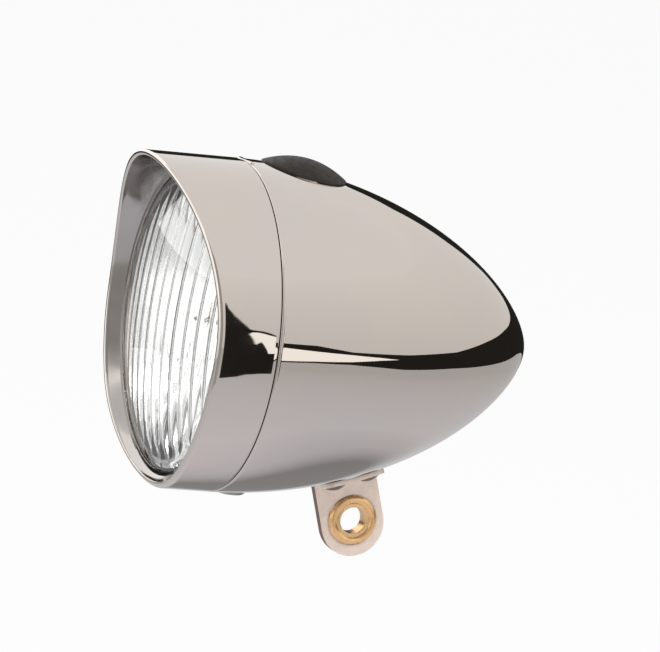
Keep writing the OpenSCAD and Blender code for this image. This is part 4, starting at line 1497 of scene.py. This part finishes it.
@dataclass
class CarriedNodes:
    """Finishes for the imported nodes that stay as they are."""

    shop: Workshop
    finishes: dict[str, Finish] = field(default_factory=lambda: {
        "lens_gasket": Finish.RUBBER, "retaining_wire": Finish.SPRING, "bulb_cap": Finish.BRASS,
        "bulb_filament": Finish.TUNGSTEN, "bulb_socket": Finish.BRASS, "socket_insulator": Finish.LAMINATE,
        "centre_contact": Finish.BRASS, "rim_screw": Finish.SCREW, "clamp_nut": Finish.ZINC,
        "switch_body": Finish.WHITE_PLASTIC, "switch_plunger": Finish.WHITE_PLASTIC,
        "switch_ring_nut": Finish.BLACK_PLASTIC, "switch_terminals": Finish.BRASS,
        "rivet_plates": Finish.ZINC, "battery_tray": Finish.BLACK_PLASTIC, "tray_screw": Finish.SCREW,
        "contact_plates": Finish.BRASS, "feed_strips": Finish.BRASS,
    })

    def dress(self) -> None:
        """Puts each finish on its node."""
        for node, finish in self.finishes.items():
            self.shop.paintbox.coat(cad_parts[node], finish)
            log.info("%s: packed node, %s", node, finish.value.name)


# Studio

WHITE: Colour = (1.0, 1.0, 1.0)
SOFT: Colour = (1.0, 0.995, 0.985)
DARK: Colour = (0.02, 0.019, 0.017)
SEEN = ("Is Camera Ray", "Is Glossy Ray", "Is Transmission Ray")


@dataclass(frozen=True)
class Band:
    """One upright of the dark horizon that the chrome mirrors, seen round the lamp.

    The bright slit runs through it from slit_low to slit_high, and bow bends it, in degrees per square metre.
    """

    azimuth: float
    low: float
    high: float
    slit_low: float = -0.0368
    slit_high: float = -0.0368
    bow: float = 0.0


@dataclass
class Studio:
    """Camera, pale floor, soft lamps, white surroundings and the cards that the chrome mirrors."""

    lamp: LampFrame
    azimuth: float = 67.88
    elevation: float = 8.9
    roll: float = 8.29
    distance: float = 1.5
    frame_width: float = 0.15846
    aim: Point3 = (0.0, 0.026, 0.0)
    offset: Point2 = (0.00214, 0.00158)
    floor_drop: float = 0.11
    floor_half: float = 6.0
    floor_glow: float = 0.93
    card_radius: float = 0.35
    painted_shadow_at: Point3 = (-0.125, 0.068, 0.0)
    painted_shadow_size: Point2 = (0.115, 0.056)
    horizon: tuple[Band, ...] = (
        Band(102.15, -0.160, 0.152, 0.02, 0.02, 93), Band(102.40, -0.158, 0.124, 0.02, 0.02, 93),
        Band(102.76, -0.151, 0.097, 0.02, 0.02, 93), Band(103.11, -0.146, 0.076, 0.02, 0.02, 93),
        Band(103.57, -0.132, 0.048, 0.03, 0.03, 93), Band(103.70, -0.131, 0.046, 0.020, 0.037, 93),
        Band(103.92, -0.128, 0.045, -0.009, 0.038, 93), Band(104.17, -0.124, 0.044, 0.004, 0.036, 93),
        Band(104.56, -0.121, 0.038, -0.039, 0.030, 93), Band(104.86, -0.119, 0.030, -0.037, 0.026, 93),
        Band(104.95, -0.100, 0.020, -0.03, -0.03, 93), Band(105.05, -0.068, 0.006, -0.03, -0.03, 93),
        Band(105.30, -0.068, 0.006, -0.060, -0.013, 93), Band(107.0, -0.067, 0.0053, -0.0616, -0.0113),
        Band(115.7, -0.0620, 0.0035, -0.0561, -0.0180), Band(126.4, -0.0612, -0.0148, -0.0508, -0.0250),
        Band(135.1, -0.0665, -0.0175, -0.0410, -0.0313), Band(140.9, -0.0710, -0.0190), Band(144.0, -0.0730, -0.0193),
        Band(161.8, -0.0676, -0.0107), Band(176.9, -0.0640, 0.0165), Band(192.8, -0.055, 0.0389),
        Band(205.8, -0.0418, 0.0470), Band(214.0, -0.0430, 0.0505), Band(220.4, -0.0500, 0.0545),
        Band(225.0, -0.0600, 0.0673), Band(226.2, -0.0620, 0.1213), Band(232.6, -0.0700, 0.1611),
        Band(240.5, -0.0750, 0.1401), Band(246.0, -0.0750, 0.0900), Band(250.0, -0.0750, 0.1000),
        Band(253.0, -0.0750, 0.1250), Band(262.0, -0.0750, 0.1300),
    )

    @property
    def middle(self) -> Vector:
        """The point that the camera and the cards are set round."""
        return self.lamp.place @ Vector(self.aim)

    def camera(self) -> None:
        """The camera at the photograph's angle."""
        roll = math.radians(self.roll)
        back, right = direction(self.azimuth, self.elevation), direction(self.azimuth + 90, 0.0)
        up = back.cross(right)
        right, up = right * math.cos(roll) + up * math.sin(roll), up * math.cos(roll) - right * math.sin(roll)
        data = bpy.data.cameras.new("camera")
        data.sensor_width = 36.0
        data.lens = data.sensor_width * self.distance / self.frame_width
        data.clip_start, data.clip_end = 0.05, 50.0
        obj = bpy.data.objects.new("camera", data)
        turn = Matrix((right, up, back)).transposed().to_4x4()
        turn.translation = self.middle + right * self.offset[0] + up * self.offset[1] + back * self.distance
        obj.matrix_world = turn
        bpy.context.scene.collection.objects.link(obj)
        bpy.context.scene.camera = obj

    def world(self) -> None:
        """Soft surroundings that look white to the camera and in gloss and glass."""
        world = bpy.data.worlds.new("surroundings")
        bpy.context.scene.world = world
        nodes = Nodes(world)
        soft = nodes.add("Background", {"Color": (1.0, 0.985, 0.965), "Strength": 0.55})
        white = nodes.add("Background", {"Color": WHITE})
        mix = nodes.add("MixShader", {0: nodes.rays(*SEEN), 1: soft.outputs[0], 2: white.outputs[0]})
        nodes.add("OutputWorld", {"Surface": mix.outputs[0]})

    def floor(self) -> None:
        """A pale floor below the bracket, near white to the camera, that keeps the lamp's shadow."""
        size = self.floor_half
        corners = [(-size, -size, 0), (size, -size, 0), (size, size, 0), (-size, size, 0)]
        obj = mesh_object("floor", corners, [(0, 1, 2, 3)])
        if obj.data.polygons[0].normal.z < 0:
            obj.data.flip_normals()
        obj.location.z = CAD_BOX[0].z - self.floor_drop
        material = bpy.data.materials.new("pale_floor")
        nodes = Nodes(material)
        pale = nodes.add("BsdfDiffuse", {"Color": (0.70, 0.70, 0.71)})
        bright = nodes.add("Emission", {"Color": self.floor_tone(nodes)})
        share = nodes.add("Math", {0: nodes.rays(*SEEN), 1: self.floor_glow}, operation="MULTIPLY")
        above = nodes.add("MixShader", {0: share.outputs[0], 1: pale.outputs[0], 2: bright.outputs[0]})
        below = nodes.add("NewGeometry").outputs["Backfacing"]
        clear = nodes.add("BsdfTransparent")
        sides = nodes.add("MixShader", {0: below, 1: above.outputs[0], 2: clear.outputs[0]})
        nodes.add("OutputMaterial", {"Surface": sides.outputs[0]})
        obj.data.materials.append(material)

    def floor_tone(self, nodes: Nodes) -> Socket:
        """White for the camera and glowing brighter through glass; for gloss, grey that darkens away from the middle,
        with a painted shadow behind the lamp.

        Args:
            nodes: Nodes of the floor's material.

        Returns:
            The floor's colour.
        """
        place = nodes.add("TexCoord").outputs["Object"]
        span = nodes.add("VectorMath", {0: place}, operation="LENGTH").outputs["Value"]
        grey = nodes.ramp(span, (0.0, (0.84, 0.83, 0.90)), (0.15, (0.73, 0.735, 0.785)), (0.6, (0.57, 0.565, 0.57)))
        # Painted shadow: a dark spot on the floor behind the lamp, seen only in gloss.
        shadow_spot = nodes.add("Mapping", {"Vector": place, "Location": self.painted_shadow_at, "Scale": (*self.painted_shadow_size, 1.0)},
                          vector_type="TEXTURE").outputs["Vector"]
        reach = nodes.add("VectorMath", {0: shadow_spot}, operation="LENGTH").outputs["Value"]
        half = nodes.add("Math", {0: reach, 1: 0.5}, operation="MULTIPLY").outputs[0]
        depth = nodes.ramp(half, (0.44, (0.36, 0.36, 0.35)), (0.57, (0.66, 0.66, 0.66)), (0.66, (0.80, 0.80, 0.80)),
                           (1.0, WHITE))
        mirrored = nodes.mix(nodes.rays("Is Glossy Ray"), WHITE, nodes.mix(1.0, grey, depth, "MULTIPLY"))
        return nodes.mix(nodes.rays("Is Transmission Ray"), mirrored, nodes.between(span, 0.80, 1.6, 0.2, 0.42))

    def card(self, name: str, columns: Sequence[Point4], radius: float, colour: Colour, strength: float,
             through_glass: bool = False, fade: Point3 | None = None) -> None:
        """A card that only mirrors see, or only rays through clear pieces, bent round the lamp.

        Args:
            name: Name of the card.
            columns: Its uprights, as (azimuth in degrees, low, high, bow).
            radius: Its distance from the lamp's middle.
            colour: Its colour.
            strength: Its brightness.
            through_glass: True where only rays through clear pieces see it.
            fade: A low height, a high one, and the brightness at the low one, where it fades downwards.
        """
        middle, steps = self.middle, 10
        points = []
        for azimuth, low, high, bow in columns:
            for height in (low + (high - low) * i / steps for i in range(steps + 1)):
                a = math.radians(azimuth + bow * height ** 2)
                points.append(middle + Vector((radius * math.sin(a), -radius * math.cos(a), height)))
        obj = mesh_object(name, points, weave(len(columns), steps + 1, wrap=False))
        material = bpy.data.materials.new(name)
        nodes = Nodes(material)
        level: Socket | float = strength
        if fade:
            up = nodes.add("SeparateXYZ", {0: nodes.add("TexCoord").outputs["Object"]}).outputs["Z"]
            level = nodes.between(up, fade[2], strength, middle.z + fade[0], middle.z + fade[1])
        glow = nodes.add("Emission", {"Color": colour, "Strength": level})
        nodes.add("OutputMaterial", {"Surface": glow.outputs[0]})
        obj.data.materials.append(material)
        obj.visible_camera = obj.visible_diffuse = obj.visible_shadow = False
        obj.visible_transmission, obj.visible_glossy = through_glass, not through_glass

    def cards(self) -> None:
        """The dark horizon with its bright slit, soft boxes in front, a grey side and a pale sky."""
        bands, near = self.horizon, self.card_radius
        self.card("dark_card_above", [(b.azimuth, b.slit_high, b.high, b.bow) for b in bands], near, DARK, 1.0)
        self.card("dark_card_below", [(b.azimuth, b.low, b.slit_low, b.bow) for b in bands], near, DARK, 1.0)
        self.card("slit_card", [(b.azimuth, b.slit_low, b.slit_high, b.bow) for b in bands], near,
                  (1.0, 0.985, 0.955), 1.4)
        for name, azimuths, low, high, radius, colour, strength, through, fade in (
                ("front_soft_box", range(-105, 60, 15), -0.16, 1.0, 0.85, SOFT, 1.6, False, (-0.16, 0.04, 0.9)),
                ("lens_soft_box", range(-75, 75, 15), -0.16, 1.0, 1.1, SOFT, 1.6, True, None),
                ("side_grey_card", range(36, 100, 6), -0.16, 0.35, 0.3, (1.0, 0.98, 0.95), 0.45, False, None),
                ("sky_card", range(100, 250, 10), -0.12, 1.0, 1.2, (1.0, 0.99, 0.975), 1.0, False, (-0.12, 1.0, 0.82)),
                ("far_dark_card", range(262, 342, 8), -0.075, 0.0, near, DARK, 1.0, False, None)):
            self.card(name, [(a, low, high, 0.0) for a in azimuths], radius, colour, strength, through, fade)
        for index, (azimuth, low) in enumerate(((-58, 0.20), (-36, 0.35), (-12, 0.25), (14, 0.40), (38, 0.25))):
            self.card(f"lens_bar_{index}", [(azimuth - 2, low, 1.0, 0.0), (azimuth + 2, low, 1.0, 0.0)], 1.0,
                      (0.25, 0.25, 0.26), 1.0, True)

    def lamps(self) -> None:
        """A soft key above the front and a fill on the camera's side."""
        for name, azimuth, elevation, reach, size, power in (
                ("key", 10.0, 42.0, 1.4, 0.8, 9.0), ("fill", 90.0, 50.0, 1.6, 1.2, 20.0)):
            way = direction(azimuth, elevation)
            data = bpy.data.lights.new(name, "AREA")
            data.shape, data.size, data.energy = "DISK", size, power
            obj = bpy.data.objects.new(name, data)
            obj.location = self.middle + way * reach
            obj.rotation_euler = way.to_track_quat("Z", "Y").to_euler()
            obj.visible_glossy = obj.visible_camera = False
            bpy.context.scene.collection.objects.link(obj)

    def build(self) -> None:
        """Sets up the whole studio."""
        bpy.context.scene.view_settings.view_transform = "Standard"
        self.camera()
        self.world()
        self.floor()
        self.cards()
        self.lamps()


def main() -> None:
    """Builds the lamp and its studio in order."""
    logging.basicConfig(level=logging.INFO, format="%(relativeCreated)6.0f ms %(name)s: %(message)s")
    lamp = LampFrame()
    shop = Workshop(Paintbox())
    Studio(lamp).build()
    RearShell(shop, lamp).build()
    Rim(shop, lamp).build()
    Optics(shop, lamp).build()
    PushSwitch(shop, lamp).build()
    Bracket(shop, lamp).build()
    BatteryPack(shop, lamp).build()
    CarriedNodes(shop).dress()


if __name__ == "__main__":
    main()
